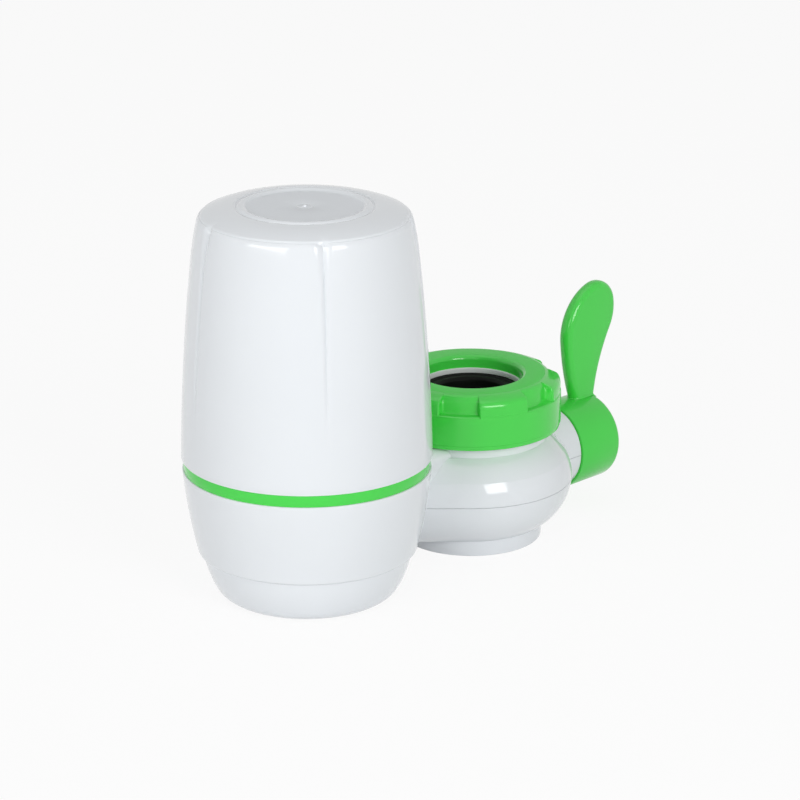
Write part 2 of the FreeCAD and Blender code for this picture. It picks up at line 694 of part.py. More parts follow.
def filter_base():
    """Cup with a threaded neck, an upright socket for the cartridge and a side inlet."""
    body = tower_body("filter_base")
    floor_foot = sizes.base_floor_top - sizes.base_floor_wall
    inner_low = sizes.base_spigot_radius - sizes.base_wall
    side_inner = sizes.base_foot_radius - sizes.base_wall
    turn(body, "cup", [
        (sizes.drain_bore, floor_foot),
        (sizes.base_spigot_radius, floor_foot),
        (sizes.base_spigot_radius, sizes.cap_rim_height),
        (sizes.base_foot_radius, sizes.cap_rim_height),
        (sizes.base_rim_radius, sizes.ring_foot, sizes.base_side_arc),
        (sizes.neck_radius, sizes.ring_foot),
        (sizes.neck_radius, sizes.neck_top),
        (sizes.neck_inner, sizes.neck_top),
        (sizes.neck_inner, sizes.ring_foot),
        (side_inner, sizes.cap_rim_height + sizes.base_wall),
        (inner_low, sizes.base_floor_top),
        (sizes.socket_radius, sizes.base_floor_top),
        (sizes.socket_radius, sizes.socket_top),
        (sizes.socket_bore, sizes.socket_top),
        (sizes.socket_bore, sizes.socket_floor),
        (sizes.drain_bore, sizes.socket_floor),
    ])
    boss = new_sketch(body, "boss_outline", "YZ_Plane", (None, None, sizes.inlet_boss_reach))
    draw_circle(boss, (0, sizes.seam_height), sizes.inlet_boss_radius)
    boss_length = sizes.base_foot_radius - sizes.base_wall / 2 - sizes.inlet_boss_reach
    pad(body, "inlet_boss", boss, boss_length)
    boss_foot = sizes.seam_height - sizes.inlet_boss_radius - 1.0
    boss_end = sizes.base_rim_radius
    turn(body, "boss_trim", [
        (sizes.socket_radius, boss_foot),
        (boss_end, boss_foot),
        (boss_end, sizes.cap_rim_height),
        (sizes.base_spigot_radius, sizes.cap_rim_height),
        (sizes.base_spigot_radius, floor_foot),
        (sizes.socket_radius, floor_foot),
    ], cut=True)
    bore = new_sketch(body, "bore_outline", "YZ_Plane", (None, None, sizes.inlet_stop))
    draw_circle(bore, (0, sizes.seam_height), sizes.nipple_radius + sizes.seat_gap)
    pad(body, "inlet_socket", bore, boss_end - sizes.inlet_stop, cut=True, backwards=True)
    port_start = sizes.inlet_boss_reach - 1.0
    port = new_sketch(body, "port_outline", "YZ_Plane", (None, None, port_start))
    draw_circle(port, (0, sizes.seam_height), sizes.side_passage)
    pad(body, "inlet_port", port, sizes.inlet_stop - port_start + 1.0, cut=True, backwards=True)


def bottom_cap():
    """Shallow cup that closes the foot of the tower around the outlet nozzle."""
    body = tower_body("bottom_cap")
    hole = sizes.nozzle_radius + sizes.free_gap
    inner_top = sizes.base_spigot_radius + sizes.seat_gap
    floor_foot = sizes.base_floor_top - sizes.base_floor_wall
    low_inner = sizes.cap_side_low_radius - sizes.cap_wall
    turn(body, "cup", tower_side()[:3] + [
        (inner_top, sizes.cap_rim_height),
        (inner_top, floor_foot - sizes.seat_gap),
        (low_inner, sizes.foot_corner_height),
        (sizes.foot_flat_radius, sizes.cap_wall),
        (hole, sizes.cap_wall),
        (hole, as_term(0.0)),
    ])


def outlet_nozzle():
    """Flanged spout for the filtered water, under the floor of the base."""
    body = tower_body("outlet_nozzle")
    top = sizes.base_floor_top - sizes.base_floor_wall
    groove_foot = top - sizes.nozzle_ring_cord * 2
    groove_inner = sizes.nozzle_ring_radius - sizes.nozzle_ring_cord
    groove_outer = sizes.nozzle_ring_radius + sizes.nozzle_ring_cord
    turn(body, "spout", [
        (sizes.nozzle_bore, sizes.nozzle_mouth),
        (sizes.nozzle_radius, sizes.nozzle_mouth),
        (sizes.nozzle_radius, top - sizes.nozzle_flange_thick),
        (sizes.nozzle_flange, top - sizes.nozzle_flange_thick),
        (sizes.nozzle_flange, top),
        (groove_outer, top),
        (groove_outer, groove_foot),
        (groove_inner, groove_foot),
        (groove_inner, top),
        (sizes.nozzle_bore, top),
    ])


def nozzle_ring():
    body = tower_body("nozzle_oring")
    middle = sizes.base_floor_top - sizes.base_floor_wall - sizes.nozzle_ring_cord
    turn(body, "cord", cord_section(sizes.nozzle_ring_radius, middle, sizes.nozzle_ring_cord))


def accent_ring():
    """Coloured slip ring between the base and the cover, clipped on the cover's bead."""
    body = tower_body("accent_ring")
    inner = sizes.neck_radius + sizes.free_gap
    groove_inner = sizes.clip_radius - sizes.clip_half - sizes.free_gap
    groove_outer = sizes.clip_radius + sizes.clip_half + sizes.free_gap
    groove_foot = sizes.ring_top - sizes.clip_depth - sizes.free_gap
    turn(body, "ring", [
        (inner, sizes.ring_foot),
        (sizes.ring_radius, sizes.ring_foot),
        (sizes.ring_radius, sizes.ring_top),
        (groove_outer, sizes.ring_top),
        (groove_outer, groove_foot),
        (groove_inner, groove_foot),
        (groove_inner, sizes.ring_top),
        (inner, sizes.ring_top),
    ])


def filter_cover():
    """Tall cup, upside down, with five faint petals and a raised rim round its top."""
    body = tower_body("filter_cover", turned=sizes.petal_start)
    thread = sizes.neck_radius + sizes.free_gap
    bead_inner = sizes.clip_radius - sizes.clip_half
    bead_outer = sizes.clip_radius + sizes.clip_half
    bead_foot = sizes.ring_top - sizes.clip_depth
    rib_foot = sizes.neck_top + sizes.seal_thick
    rib_top = rib_foot + sizes.rib_thick
    bore = sizes.neck_radius + sizes.free_gap
    wall = sizes.cover_wall
    turn(body, "cup", [
        (thread, sizes.ring_top),
        (bead_inner, sizes.ring_top),
        (bead_inner, bead_foot),
        (bead_outer, bead_foot),
        (bead_outer, sizes.ring_top),
        (sizes.cover_rim_radius, sizes.ring_top),
        (sizes.petal_top_radius, sizes.petal_top_height, sizes.cover_side_arc),
        (sizes.shoulder_radius, sizes.shoulder_height, sizes.petal_roll_arc),
        (sizes.shoulder_turn_radius, sizes.shoulder_turn_height, sizes.shoulder_turn_arc),
        (sizes.plateau_radius, sizes.plateau_foot, sizes.shoulder_crown_arc),
        (sizes.plateau_radius, sizes.plateau_top),
        (sizes.plateau_inner, sizes.plateau_top),
        (sizes.plateau_inner, sizes.plateau_dish),
        (as_term(0.0), sizes.plateau_dish),
        (as_term(0.0), sizes.plateau_dish - wall),
        (sizes.shoulder_turn_radius - wall, sizes.plateau_dish - wall),
        (sizes.shoulder_radius - wall, sizes.shoulder_height - wall),
        (sizes.petal_top_radius - wall, sizes.petal_top_height - wall),
        (bore, rib_top),
        (sizes.rib_radius, rib_top),
        (sizes.rib_radius, rib_foot),
        (bore, rib_foot),
    ])
    groove, section = crease(body, "crease")
    repeat(body, "creases", [groove], sizes.petal_count, section)


def crease(body, name):
    """Shallow V between two petals: nothing at its foot, deepest at the shoulder."""
    path = new_sketch(body, name + "_path", "XZ_Plane")
    side_top = (sizes.petal_top_radius - sizes.crease_depth, sizes.petal_top_height)
    edge = (sizes.shoulder_radius - sizes.crease_top_depth, sizes.shoulder_height)
    end = (sizes.crease_end_radius, sizes.plateau_top)
    draw_path(path, (sizes.crease_foot_radius, sizes.crease_foot), [
        side_top + (sizes.cover_side_arc,),
        edge + (sizes.petal_roll_arc,),
        end + (sizes.crease_end_radius / 3,),
    ])
    section = new_sketch(body, name + "_section", "XY_Plane", (None, None, sizes.crease_foot))
    spread = sizes.crease_width / 2 * sizes.crease_tool_reach / sizes.crease_depth
    draw_outline(section, [
        (sizes.crease_foot_radius, as_term(0.0)),
        (sizes.crease_foot_radius + sizes.crease_tool_reach, -spread),
        (sizes.crease_foot_radius + sizes.crease_tool_reach, spread),
    ])
    groove = body.newObject("PartDesign::SubtractivePipe", name)
    groove.Profile = section
    groove.Spine = path
    doc.recompute()
    return groove, section


def cover_seal():
    body = tower_body("cover_seal")
    top = sizes.neck_top + sizes.seal_thick
    turn(body, "ring", [
        (sizes.seal_inner, sizes.neck_top),
        (sizes.neck_radius, sizes.neck_top),
        (sizes.neck_radius, top),
        (sizes.seal_inner, top),
    ])


def cartridge():
    """Ceramic candle on a plastic holder, with carbon and a fibre pad inside it."""
    holder = tower_body("cartridge_base")
    lip_inner = sizes.candle_radius + sizes.seat_gap
    turn(holder, "holder", [
        (sizes.stub_bore, sizes.stub_foot),
        (sizes.stub_radius, sizes.stub_foot),
        (sizes.stub_radius, sizes.holder_foot),
        (sizes.holder_radius, sizes.holder_foot),
        (sizes.holder_radius, sizes.holder_lip),
        (lip_inner, sizes.holder_lip),
        (lip_inner, sizes.holder_floor),
        (sizes.stub_bore, sizes.holder_floor),
    ])
    washer = tower_body("cartridge_seal")
    turn(washer, "ring", [
        (sizes.stub_radius + sizes.seat_gap, sizes.socket_top),
        (sizes.washer_radius, sizes.socket_top),
        (sizes.washer_radius, sizes.holder_foot),
        (sizes.stub_radius + sizes.seat_gap, sizes.holder_foot),
    ])
    candle = tower_body("ceramic_candle")
    inner = sizes.candle_radius - sizes.candle_wall
    crown = sizes.candle_top - sizes.candle_side_top
    # the crown is an arc that leaves the side upright and ends flat on the axis
    bend = (sizes.candle_radius * sizes.candle_radius + crown * crown) / (crown * 2)
    turn(candle, "shell", [
        (inner, sizes.holder_floor),
        (sizes.candle_radius, sizes.holder_floor),
        (sizes.candle_radius, sizes.candle_side_top),
        (as_term(0.0), sizes.candle_top, bend),
        (as_term(0.0), sizes.candle_top - sizes.candle_wall),
        (inner, sizes.candle_top - sizes.candle_wall - inner / 2),
    ])
    fibre = tower_body("fibre_pad")
    pad_top = sizes.holder_floor + sizes.pad_thick
    turn(fibre, "disc", [
        (as_term(0.0), sizes.holder_floor),
        (sizes.carbon_radius, sizes.holder_floor),
        (sizes.carbon_radius, pad_top),
        (as_term(0.0), pad_top),
    ])
    carbon = tower_body("carbon_block")
    turn(carbon, "block", [
        (sizes.carbon_bore, pad_top),
        (sizes.carbon_radius, pad_top),
        (sizes.carbon_radius, sizes.carbon_top),
        (as_term(0.0), sizes.carbon_top),
        (as_term(0.0), sizes.carbon_top - sizes.candle_wall),
        (sizes.carbon_bore, sizes.carbon_top - sizes.candle_wall),
    ])


def valve_block():
    """Pressure body: tap cup, core barrel, outlet pipe and side pipe in one moulding."""
    body = new_body("valve_block")
    axis = sizes.seam_height
    turn(body, "upright", [
        (as_term(0.0), sizes.outlet_flange_foot),
        (sizes.outlet_flange_radius, sizes.outlet_flange_foot),
        (sizes.outlet_flange_radius, sizes.outlet_flange_top),
        (sizes.outlet_pipe_radius, sizes.outlet_flange_top + sizes.outlet_flange_slope),
        (sizes.waist_low_radius, sizes.waist_low_height),
        (sizes.waist_radius, sizes.waist_height),
        (sizes.waist_radius, sizes.dome_top_height),
        (sizes.collar_radius, sizes.dome_top_height),
        (sizes.collar_radius, sizes.collar_top),
        (sizes.thread_radius, sizes.collar_top),
        (sizes.thread_radius, sizes.cup_top),
        (as_term(0.0), sizes.cup_top),
    ])
    turn(body, "crosswise", [
        (-sizes.nipple_reach, as_term(0.0)),
        (sizes.barrel_end, as_term(0.0)),
        (sizes.barrel_end, sizes.barrel_radius),
        (sizes.barrel_start, sizes.barrel_radius),
        (sizes.barrel_start, sizes.side_pipe_radius),
        (sizes.side_pipe_end, sizes.side_pipe_radius),
        (sizes.side_pipe_end, sizes.nipple_radius),
        (-sizes.nipple_reach, sizes.nipple_radius),
    ], axis="H_Axis", up=axis)
    strainer_floor = sizes.cup_floor - sizes.strainer_thick
    turn(body, "cup", [
        (as_term(0.0), sizes.outlet_flange_foot - 1.0),
        (sizes.outlet_chamber, sizes.outlet_flange_foot - 1.0),
        (sizes.outlet_chamber, sizes.outlet_flange_foot),
        (sizes.inlet_passage, sizes.outlet_flange_top + 1.5),
        (sizes.inlet_passage, strainer_floor),
        (sizes.strainer_radius, strainer_floor),
        (sizes.strainer_radius, sizes.cup_floor),
        (sizes.cup_radius, sizes.cup_floor),
        (sizes.cup_radius, sizes.cup_top + 1.0),
        (as_term(0.0), sizes.cup_top + 1.0),
    ], cut=True)
    groove_foot = sizes.nipple_radius - sizes.nipple_ring_cord * 2
    turn(body, "core_chamber", [
        (-sizes.nipple_reach - 1.0, as_term(0.0)),
        (sizes.barrel_end + 1.0, as_term(0.0)),
        (sizes.barrel_end + 1.0, sizes.core_bore),
        (sizes.core_bore_start, sizes.core_bore),
        (sizes.core_bore_start, sizes.side_passage),
        (-sizes.nipple_reach - 1.0, sizes.side_passage),
    ], axis="H_Axis", cut=True, up=axis)
    for index in range(2):
        place = sizes.nipple_ring_first + sizes.nipple_ring_step * index
        turn(body, "ring_groove_" + str(index), [
            (-place - sizes.nipple_ring_cord, groove_foot),
            (-place + sizes.nipple_ring_cord, groove_foot),
            (-place + sizes.nipple_ring_cord, sizes.nipple_radius + 0.5),
            (-place - sizes.nipple_ring_cord, sizes.nipple_radius + 0.5),
        ], axis="H_Axis", cut=True, up=axis)


def cord_ring(name, place, radius, cord):
    """A ring of cord about the valve core's axis."""
    ring = doc.addObject("Part::Revolution", name)
    ring.Source = free_sketch(name + "_outline", cord_section(place, radius, cord), 0.0)
    ring.Axis = FreeCAD.Vector(1, 0, 0)
    ring.Base = FreeCAD.Vector(0, 0, 0)
    ring.Angle = 360.0
    ring.Solid = True
    ring.setExpression("Placement.Base.z", sizes.seam_height.text)
    return ring


def group(label, members):
    compound = doc.addObject("Part::Compound", "Group_" + label)
    compound.Label = label
    compound.Links = members
    set_down(compound)


def nipple_rings():
    """Two seals between the side pipe's nipple and the tower's inlet."""
    radius = sizes.nipple_radius - sizes.nipple_ring_cord
    members = []
    for index in range(2):
        place = sizes.nipple_ring_first + sizes.nipple_ring_step * index
        members.append(cord_ring(
            "nipple_ring_" + str(index), -place, radius, sizes.nipple_ring_cord))
    group("nipple_orings", members)


def core_rings():
    """Three seals round the valve core."""
    radius = sizes.core_bore - sizes.slip_gap - sizes.core_ring_cord
    places = (sizes.core_ring_inner, sizes.core_ring_middle, sizes.core_ring_outer)
    members = []
    for index, place in enumerate(places):
        members.append(cord_ring("core_ring_" + str(index), place, radius, sizes.core_ring_cord))
    group("core_orings", members)


def valve_core():
    """Turning core: a straight port for raw water and an angled one to the tower."""
    body = core_body("valve_core")
    radius = sizes.core_bore - sizes.slip_gap
    groove_foot = sizes.core_bore - sizes.slip_gap - sizes.core_ring_cord * 2
    corners = [(sizes.core_start, as_term(0.0)), (sizes.stem_end, as_term(0.0))]
    corners.append((sizes.stem_end, sizes.stem_radius - sizes.slip_gap))
    corners.append((sizes.core_shoulder, sizes.stem_radius - sizes.slip_gap))
    corners.append((sizes.core_shoulder, radius))
    for place in (sizes.core_ring_outer, sizes.core_ring_middle, sizes.core_ring_inner):
        corners.append((place + sizes.core_ring_cord, radius))
        corners.append((place + sizes.core_ring_cord, groove_foot))
        corners.append((place - sizes.core_ring_cord, groove_foot))
        corners.append((place - sizes.core_ring_cord, radius))
    corners.append((sizes.core_start, radius))
    turn(body, "turned", corners, axis="H_Axis")
    drive = new_sketch(body, "drive_outline", "YZ_Plane", (None, None, sizes.stem_end - 1.0))
    half = sizes.drive_side / 2
    draw_outline(drive, [(-half, -half), (half, -half), (half, half), (-half, half)])
    pad(body, "drive", drive, sizes.drive_end - sizes.stem_end + 1.0)
    raw = new_sketch(body, "raw_outline", "XY_Plane")
    draw_circle(raw, (sizes.raw_port_place, 0), sizes.core_port)
    pad(body, "raw_port", raw, sizes.core_bore * 2 + 2.0, both_ways=True, cut=True)
    side = new_sketch(body, "side_outline", "XZ_Plane")
    draw_circle(side, (sizes.filter_port_place, 0), sizes.core_port)
    pad(body, "side_port", side, sizes.core_bore + 1.0, cut=True)
    turn(body, "end_port", [
        (sizes.core_start - 1.0, as_term(0.0)),
        (sizes.filter_port_place, as_term(0.0)),
        (sizes.filter_port_place, sizes.core_port),
        (sizes.core_start - 1.0, sizes.core_port),
    ], axis="H_Axis", cut=True)
    turn(body, "screw_hole", [
        (sizes.drive_end - sizes.screw_length, as_term(0.0)),
        (sizes.drive_end + 1.0, as_term(0.0)),
        (sizes.drive_end + 1.0, sizes.screw_radius + sizes.slip_gap),
        (sizes.drive_end - sizes.screw_length, sizes.screw_radius + sizes.slip_gap),
    ], axis="H_Axis", cut=True)


def core_gland():
    """Ring that keeps the core in its barrel."""
    body = core_body("core_gland")
    turn(body, "ring", [
        (sizes.gland_start, sizes.stem_radius),
        (sizes.gland_end, sizes.stem_radius),
        (sizes.gland_end, sizes.core_bore),
        (sizes.gland_start, sizes.core_bore),
    ], axis="H_Axis")


def lever_handle():
    """Hub and upright leaf-shaped blade, moulded in one."""
    body = core_body("lever_handle")
    blade = new_sketch(body, "blade_outline", "XZ_Plane")
    root = sizes.hub_radius - sizes.hub_wall
    draw_outline(blade, [
        (sizes.blade_root_left, root, sizes.blade_left_arc),
        (sizes.blade_root_right, root),
        (sizes.blade_bend, sizes.blade_bend_height, -sizes.blade_right_arc),
        (sizes.blade_tip_right, sizes.blade_tip_right_height, sizes.blade_right_upper_arc),
        (sizes.blade_tip_left, sizes.blade_tip_left_height, sizes.blade_tip_arc),
        (sizes.blade_waist, sizes.blade_waist_height, sizes.blade_left_upper_arc),
    ])
    slab = pad(body, "blade", blade, sizes.blade_thick, both_ways=True)
    face_side = number(sizes.blade_thick) / 2
    rim = edges_where(slab.Shape, lambda edge, middle: (
        abs(abs(middle.y) - face_side) < 0.01 and middle.z > number(root) + 0.01))
    round_edges(body, "blade_rim", slab, rim, sizes.blade_edge)
    end_inner = sizes.hub_end - sizes.hub_end_wall
    turn(body, "hub", [
        (sizes.hub_start, sizes.hub_radius - sizes.hub_wall),
        (end_inner, sizes.hub_radius - sizes.hub_wall),
        (end_inner, sizes.boss_radius),
        (sizes.boss_start, sizes.boss_radius),
        (sizes.boss_start, as_term(0.0)),
        (sizes.hub_end, as_term(0.0)),
        (sizes.hub_end, sizes.hub_radius - sizes.hub_edge),
        (sizes.hub_end - sizes.hub_edge, sizes.hub_radius, sizes.hub_edge),
        (sizes.hub_start, sizes.hub_radius),
    ], axis="H_Axis")
    drive = new_sketch(body, "drive_outline", "YZ_Plane", (None, None, sizes.boss_start - 1.0))
    half = sizes.drive_side / 2 + sizes.slip_gap
    draw_outline(drive, [(-half, -half), (half, -half), (half, half), (-half, half)])
    depth = sizes.drive_end - sizes.boss_start + 1.0 + sizes.seat_gap
    pad(body, "drive_socket", drive, depth, cut=True, backwards=True)
    head_seat = sizes.hub_end - sizes.plug_thick - sizes.screw_head_thick
    turn(body, "screw_seat", [
        (sizes.drive_end - 1.0, as_term(0.0)),
        (sizes.hub_end + 1.0, as_term(0.0)),
        (sizes.hub_end + 1.0, sizes.plug_radius),
        (sizes.hub_end - sizes.plug_thick, sizes.plug_radius),
        (sizes.hub_end - sizes.plug_thick, sizes.screw_head_radius + sizes.seat_gap),
        (head_seat, sizes.screw_head_radius + sizes.seat_gap),
        (head_seat, sizes.screw_radius + sizes.seat_gap),
        (sizes.drive_end - 1.0, sizes.screw_radius + sizes.seat_gap),
    ], axis="H_Axis", cut=True)


def lever_screw():
    body = core_body("lever_screw")
    head_top = sizes.hub_end - sizes.plug_thick
    head_seat = head_top - sizes.screw_head_thick
    tip = sizes.drive_end - sizes.screw_length + 1.0
    turn(body, "screw", [
        (tip, as_term(0.0)),
        (head_top, as_term(0.0)),
        (head_top, sizes.screw_head_radius),
        (head_seat, sizes.screw_head_radius),
        (head_seat, sizes.screw_radius),
        (tip, sizes.screw_radius),
    ], axis="H_Axis")


def screw_cover():
    body = core_body("screw_cover")
    turn(body, "disc", [
        (sizes.hub_end - sizes.plug_thick, as_term(0.0)),
        (sizes.hub_end, as_term(0.0)),
        (sizes.hub_end, sizes.plug_radius - sizes.slip_gap),
        (sizes.hub_end - sizes.plug_thick, sizes.plug_radius - sizes.slip_gap),
    ], axis="H_Axis")


def union_nut():
    """Nut with six grip lugs that draws the tap adapter down on the valve."""
    body = new_body("union_nut")
    turn(body, "ring", [
        (sizes.nut_bore, sizes.nut_foot),
        (sizes.nut_radius - sizes.nut_edge, sizes.nut_foot),
        (sizes.nut_radius, sizes.nut_foot + sizes.nut_edge, sizes.nut_edge),
        (sizes.nut_radius, sizes.nut_cone_foot),
        (sizes.nut_flat_radius, sizes.nut_top, sizes.nut_crown_arc),
        (sizes.nut_mouth, sizes.nut_top),
        (sizes.nut_mouth, sizes.nut_lip_foot),
        (sizes.nut_bore, sizes.nut_lip_foot),
    ])
    recess = new_sketch(body, "recess_outline", "XY_Plane", (None, None, sizes.nut_ledge))
    draw_recess(recess)
    cut = pad(body, "recess", recess, sizes.nut_top - sizes.nut_ledge, cut=True, backwards=True)
    repeat(body, "recesses", [cut], sizes.nut_lug_count, recess)


def draw_recess(sketch):
    """Sector outside the drum, between two lugs."""
    pitch = 360.0 / number(sizes.nut_lug_count)
    gap = pitch - number(sizes.nut_lug_angle)
    start = number(sizes.nut_first_lug + sizes.nut_lug_angle / 2)
    inner = number(sizes.nut_drum_radius)
    outer = number(sizes.nut_radius) + 3.0
    ray = [math.radians(start), math.radians(start + gap)]
    corners = []
    for radius, angle in ((inner, ray[0]), (outer, ray[0]), (outer, ray[1]), (inner, ray[1])):
        corners.append((radius * math.cos(angle), radius * math.sin(angle)))
    corners[2] = corners[2] + (outer,)
    corners[0] = corners[0] + (-inner,)
    draw_outline(sketch, corners)


def adapter_ring():
    """Flanged sleeve that presses the rubber grip ring down and in."""
    body = new_body("adapter_ring")
    sleeve_outer = sizes.cup_radius - sizes.free_gap
    sleeve_inner = sleeve_outer - sizes.adapter_sleeve_wall
    turn(body, "sleeve", [
        (sleeve_inner, sizes.adapter_sleeve_foot),
        (sleeve_outer, sizes.adapter_sleeve_foot),
        (sleeve_outer, sizes.adapter_flange_foot),
        (sizes.thread_radius, sizes.adapter_flange_foot),
        (sizes.thread_radius, sizes.nut_lip_foot),
        (sizes.adapter_mouth, sizes.nut_lip_foot),
        (sizes.adapter_mouth, sizes.adapter_flange_foot),
        (sleeve_inner, sizes.adapter_flange_foot),
    ])


def grip_ring():
    """Rubber ring that the end of the tap is pushed into."""
    body = new_body("grip_washer")
    outer = sizes.cup_radius - sizes.free_gap - sizes.adapter_sleeve_wall - sizes.seat_gap
    turn(body, "ring", [
        (sizes.grip_bore, sizes.cup_floor),
        (outer, sizes.cup_floor),
        (outer, sizes.adapter_flange_foot),
        (sizes.grip_bore + sizes.grip_chamfer, sizes.adapter_flange_foot),
        (sizes.grip_bore, sizes.adapter_flange_foot - sizes.grip_chamfer),
    ])


def inlet_strainer():
    """Perforated disc under the grip ring."""
    body = new_body("inlet_strainer")
    floor = sizes.cup_floor - sizes.strainer_thick
    turn(body, "disc", [
        (as_term(0.0), floor),
        (sizes.strainer_radius - sizes.slip_gap, floor),
        (sizes.strainer_radius - sizes.slip_gap, sizes.cup_floor),
        (as_term(0.0), sizes.cup_floor),
    ])
    hole_rings(body, floor, sizes.strainer_thick, sizes.strainer_hole,
               ((sizes.strainer_ring_inner, 6), (sizes.strainer_ring_outer, 12)))


def hole_rings(body, floor, thick, radius, rings):
    """Rings of small holes through a disc."""
    for index, (ring_radius, count) in enumerate(rings):
        sketch = new_sketch(body, "hole_" + str(index), "XY_Plane", (None, None, floor - 1.0))
        draw_circle(sketch, (ring_radius, 0), radius)
        cut = pad(body, "drill_" + str(index), sketch, thick + 2.0, cut=True, backwards=True)
        repeat(body, "ring_" + str(index), [cut], count, sketch)


def outlet_skirt():
    """Foot ring under the valve that holds the spray plate."""
    body = new_body("outlet_collar")
    turn(body, "ring", [
        (sizes.skirt_recess, as_term(0.0)),
        (sizes.skirt_foot_radius - sizes.skirt_edge, as_term(0.0)),
        (sizes.skirt_foot_radius, sizes.skirt_edge, sizes.skirt_edge),
        (sizes.skirt_radius, sizes.skirt_top),
        (sizes.skirt_spigot_radius, sizes.skirt_top),
        (sizes.skirt_spigot_radius, sizes.skirt_spigot_top),
        (sizes.skirt_spigot_inner, sizes.skirt_spigot_top),
        (sizes.skirt_spigot_inner, sizes.plate_seat),
        (sizes.plate_radius + sizes.seat_gap * 2, sizes.plate_seat),
        (sizes.plate_radius + sizes.seat_gap * 2, sizes.skirt_recess_top),
        (sizes.skirt_recess, sizes.skirt_recess_top),
    ])


def spray_plate():
    """Disc with rings of holes for the unfiltered water."""
    body = new_body("spray_plate")
    turn(body, "disc", [
        (as_term(0.0), sizes.plate_foot),
        (sizes.plate_radius, sizes.plate_foot),
        (sizes.plate_radius, sizes.plate_seat),
        (sizes.plate_rim_radius, sizes.plate_seat),
        (sizes.plate_rim_radius, sizes.plate_top),
        (as_term(0.0), sizes.plate_top),
    ])
    hole_rings(body, sizes.plate_foot, sizes.plate_top - sizes.plate_foot, sizes.plate_hole, (
        (sizes.plate_hole_pitch, 6), (sizes.plate_hole_pitch * 2, 12),
        (sizes.plate_hole_pitch * 3, 18)))


def outlet_gasket():
    body = new_body("outlet_gasket")
    turn(body, "ring", [
        (sizes.outlet_chamber, sizes.plate_top),
        (sizes.outlet_flange_radius, sizes.plate_top),
        (sizes.outlet_flange_radius, sizes.outlet_flange_foot),
        (sizes.outlet_chamber, sizes.outlet_flange_foot),
    ])


def free_sketch(name, corners, turn_about_z):
    """A sketch that stands upright, with its first axis at an angle round Z."""
    sketch = doc.addObject("Sketcher::SketchObject", name)
    upright = FreeCAD.Rotation(FreeCAD.Vector(1, 0, 0), 90)
    around = FreeCAD.Rotation(FreeCAD.Vector(0, 0, 1), turn_about_z)
    sketch.Placement = FreeCAD.Placement(FreeCAD.Vector(0, 0, 0), around * upright)
    draw_outline(sketch, corners)
    return sketch


def drop_form(name, corners, reach):
    """A turned form drawn out to a square corner towards the tower.

    Three quarters are turned about Z. The last quarter is where two straight flanks of
    the same section, tangent to the turned part, cross each other.
    """
    turned = doc.addObject("Part::Revolution", name + "_round")
    turned.Source = free_sketch(name + "_outline", corners, -135.0)
    turned.Axis = FreeCAD.Vector(0, 0, 1)
    turned.Base = FreeCAD.Vector(0, 0, 0)
    turned.Angle = 270.0
    turned.Solid = True
    flanks = []
    for side, angle, way in (("near", -135.0, -1), ("far", 135.0, 1)):
        flank = doc.addObject("Part::Extrusion", name + "_" + side)
        flank.Base = free_sketch(name + "_" + side + "_outline", corners, angle)
        half = math.sqrt(0.5)
        flank.DirMode = "Custom"
        flank.Dir = FreeCAD.Vector(-half, -half * way, 0) if way == 1 else FreeCAD.Vector(-half, half, 0)
        flank.setExpression("LengthFwd", reach.text)
        flank.Solid = True
        flanks.append(flank)
    corner = doc.addObject("Part::MultiCommon", name + "_corner")
    corner.Shapes = flanks
    form = doc.addObject("Part::MultiFuse", name)
    form.Shapes = [turned, corner]
    return form


def arm_form(name, start, end, half, foot, top, edge):
    """Length of the arm above the seam, with its two upper edges rounded."""
    outline = free_sketch(name + "_outline", [
        (-half, foot),
        (half, foot),
        (half, top - edge),
        (half - edge, top, edge),
        (edge - half, top),
        (-half, top - edge, edge),
    ], 90.0)
    outline.setExpression("Placement.Base.x", start.text)
    form = doc.addObject("Part::Extrusion", name)
    form.Base = outline
    form.DirMode = "Custom"
    form.Dir = FreeCAD.Vector(1, 0, 0)
    form.setExpression("LengthFwd", (end - start).text)
    form.Solid = True
    return form


def half_rod(name, start, end, radius, upper, height):
    """Half cylinder along X, above or below a level."""
    rod = doc.addObject("Part::Cylinder", name)
    rod.setExpression("Radius", as_term(radius).text)
    rod.setExpression("Height", (as_term(end) - start).text)
    rod.Angle = 180.0
    lie = FreeCAD.Rotation(FreeCAD.Vector(0, 1, 0), 90)
    spin = FreeCAD.Rotation(FreeCAD.Vector(1, 0, 0), 90 if upper else -90)
    rod.Placement = FreeCAD.Placement(FreeCAD.Vector(0, 0, 0), spin * lie)
    rod.setExpression("Placement.Base.x", as_term(start).text)
    rod.setExpression("Placement.Base.z", as_term(height).text)
    return rod


def upper_corners(inset):
    """Section of the upper shell's dome, drawn in by a wall."""
    foot = sizes.seam_height + sizes.seam_gap
    return [
        (as_term(0.0), foot),
        (sizes.dome_radius - inset, foot),
        (sizes.dome_break_radius - inset, sizes.dome_break_height, sizes.dome_upper_arc),
        (sizes.collar_radius + sizes.seat_gap - inset, sizes.dome_top_height, sizes.dome_slope_arc),
        (as_term(0.0), sizes.dome_top_height),
    ]


def lower_corners(inset, floor):
    """Section of the lower shell's bowl, drawn in by a wall."""
    return [
        (as_term(0.0), floor),
        (sizes.dome_foot_radius - inset, floor),
        (sizes.dome_radius - inset, sizes.seam_height, sizes.dome_lower_arc),
        (as_term(0.0), sizes.seam_height),
    ]


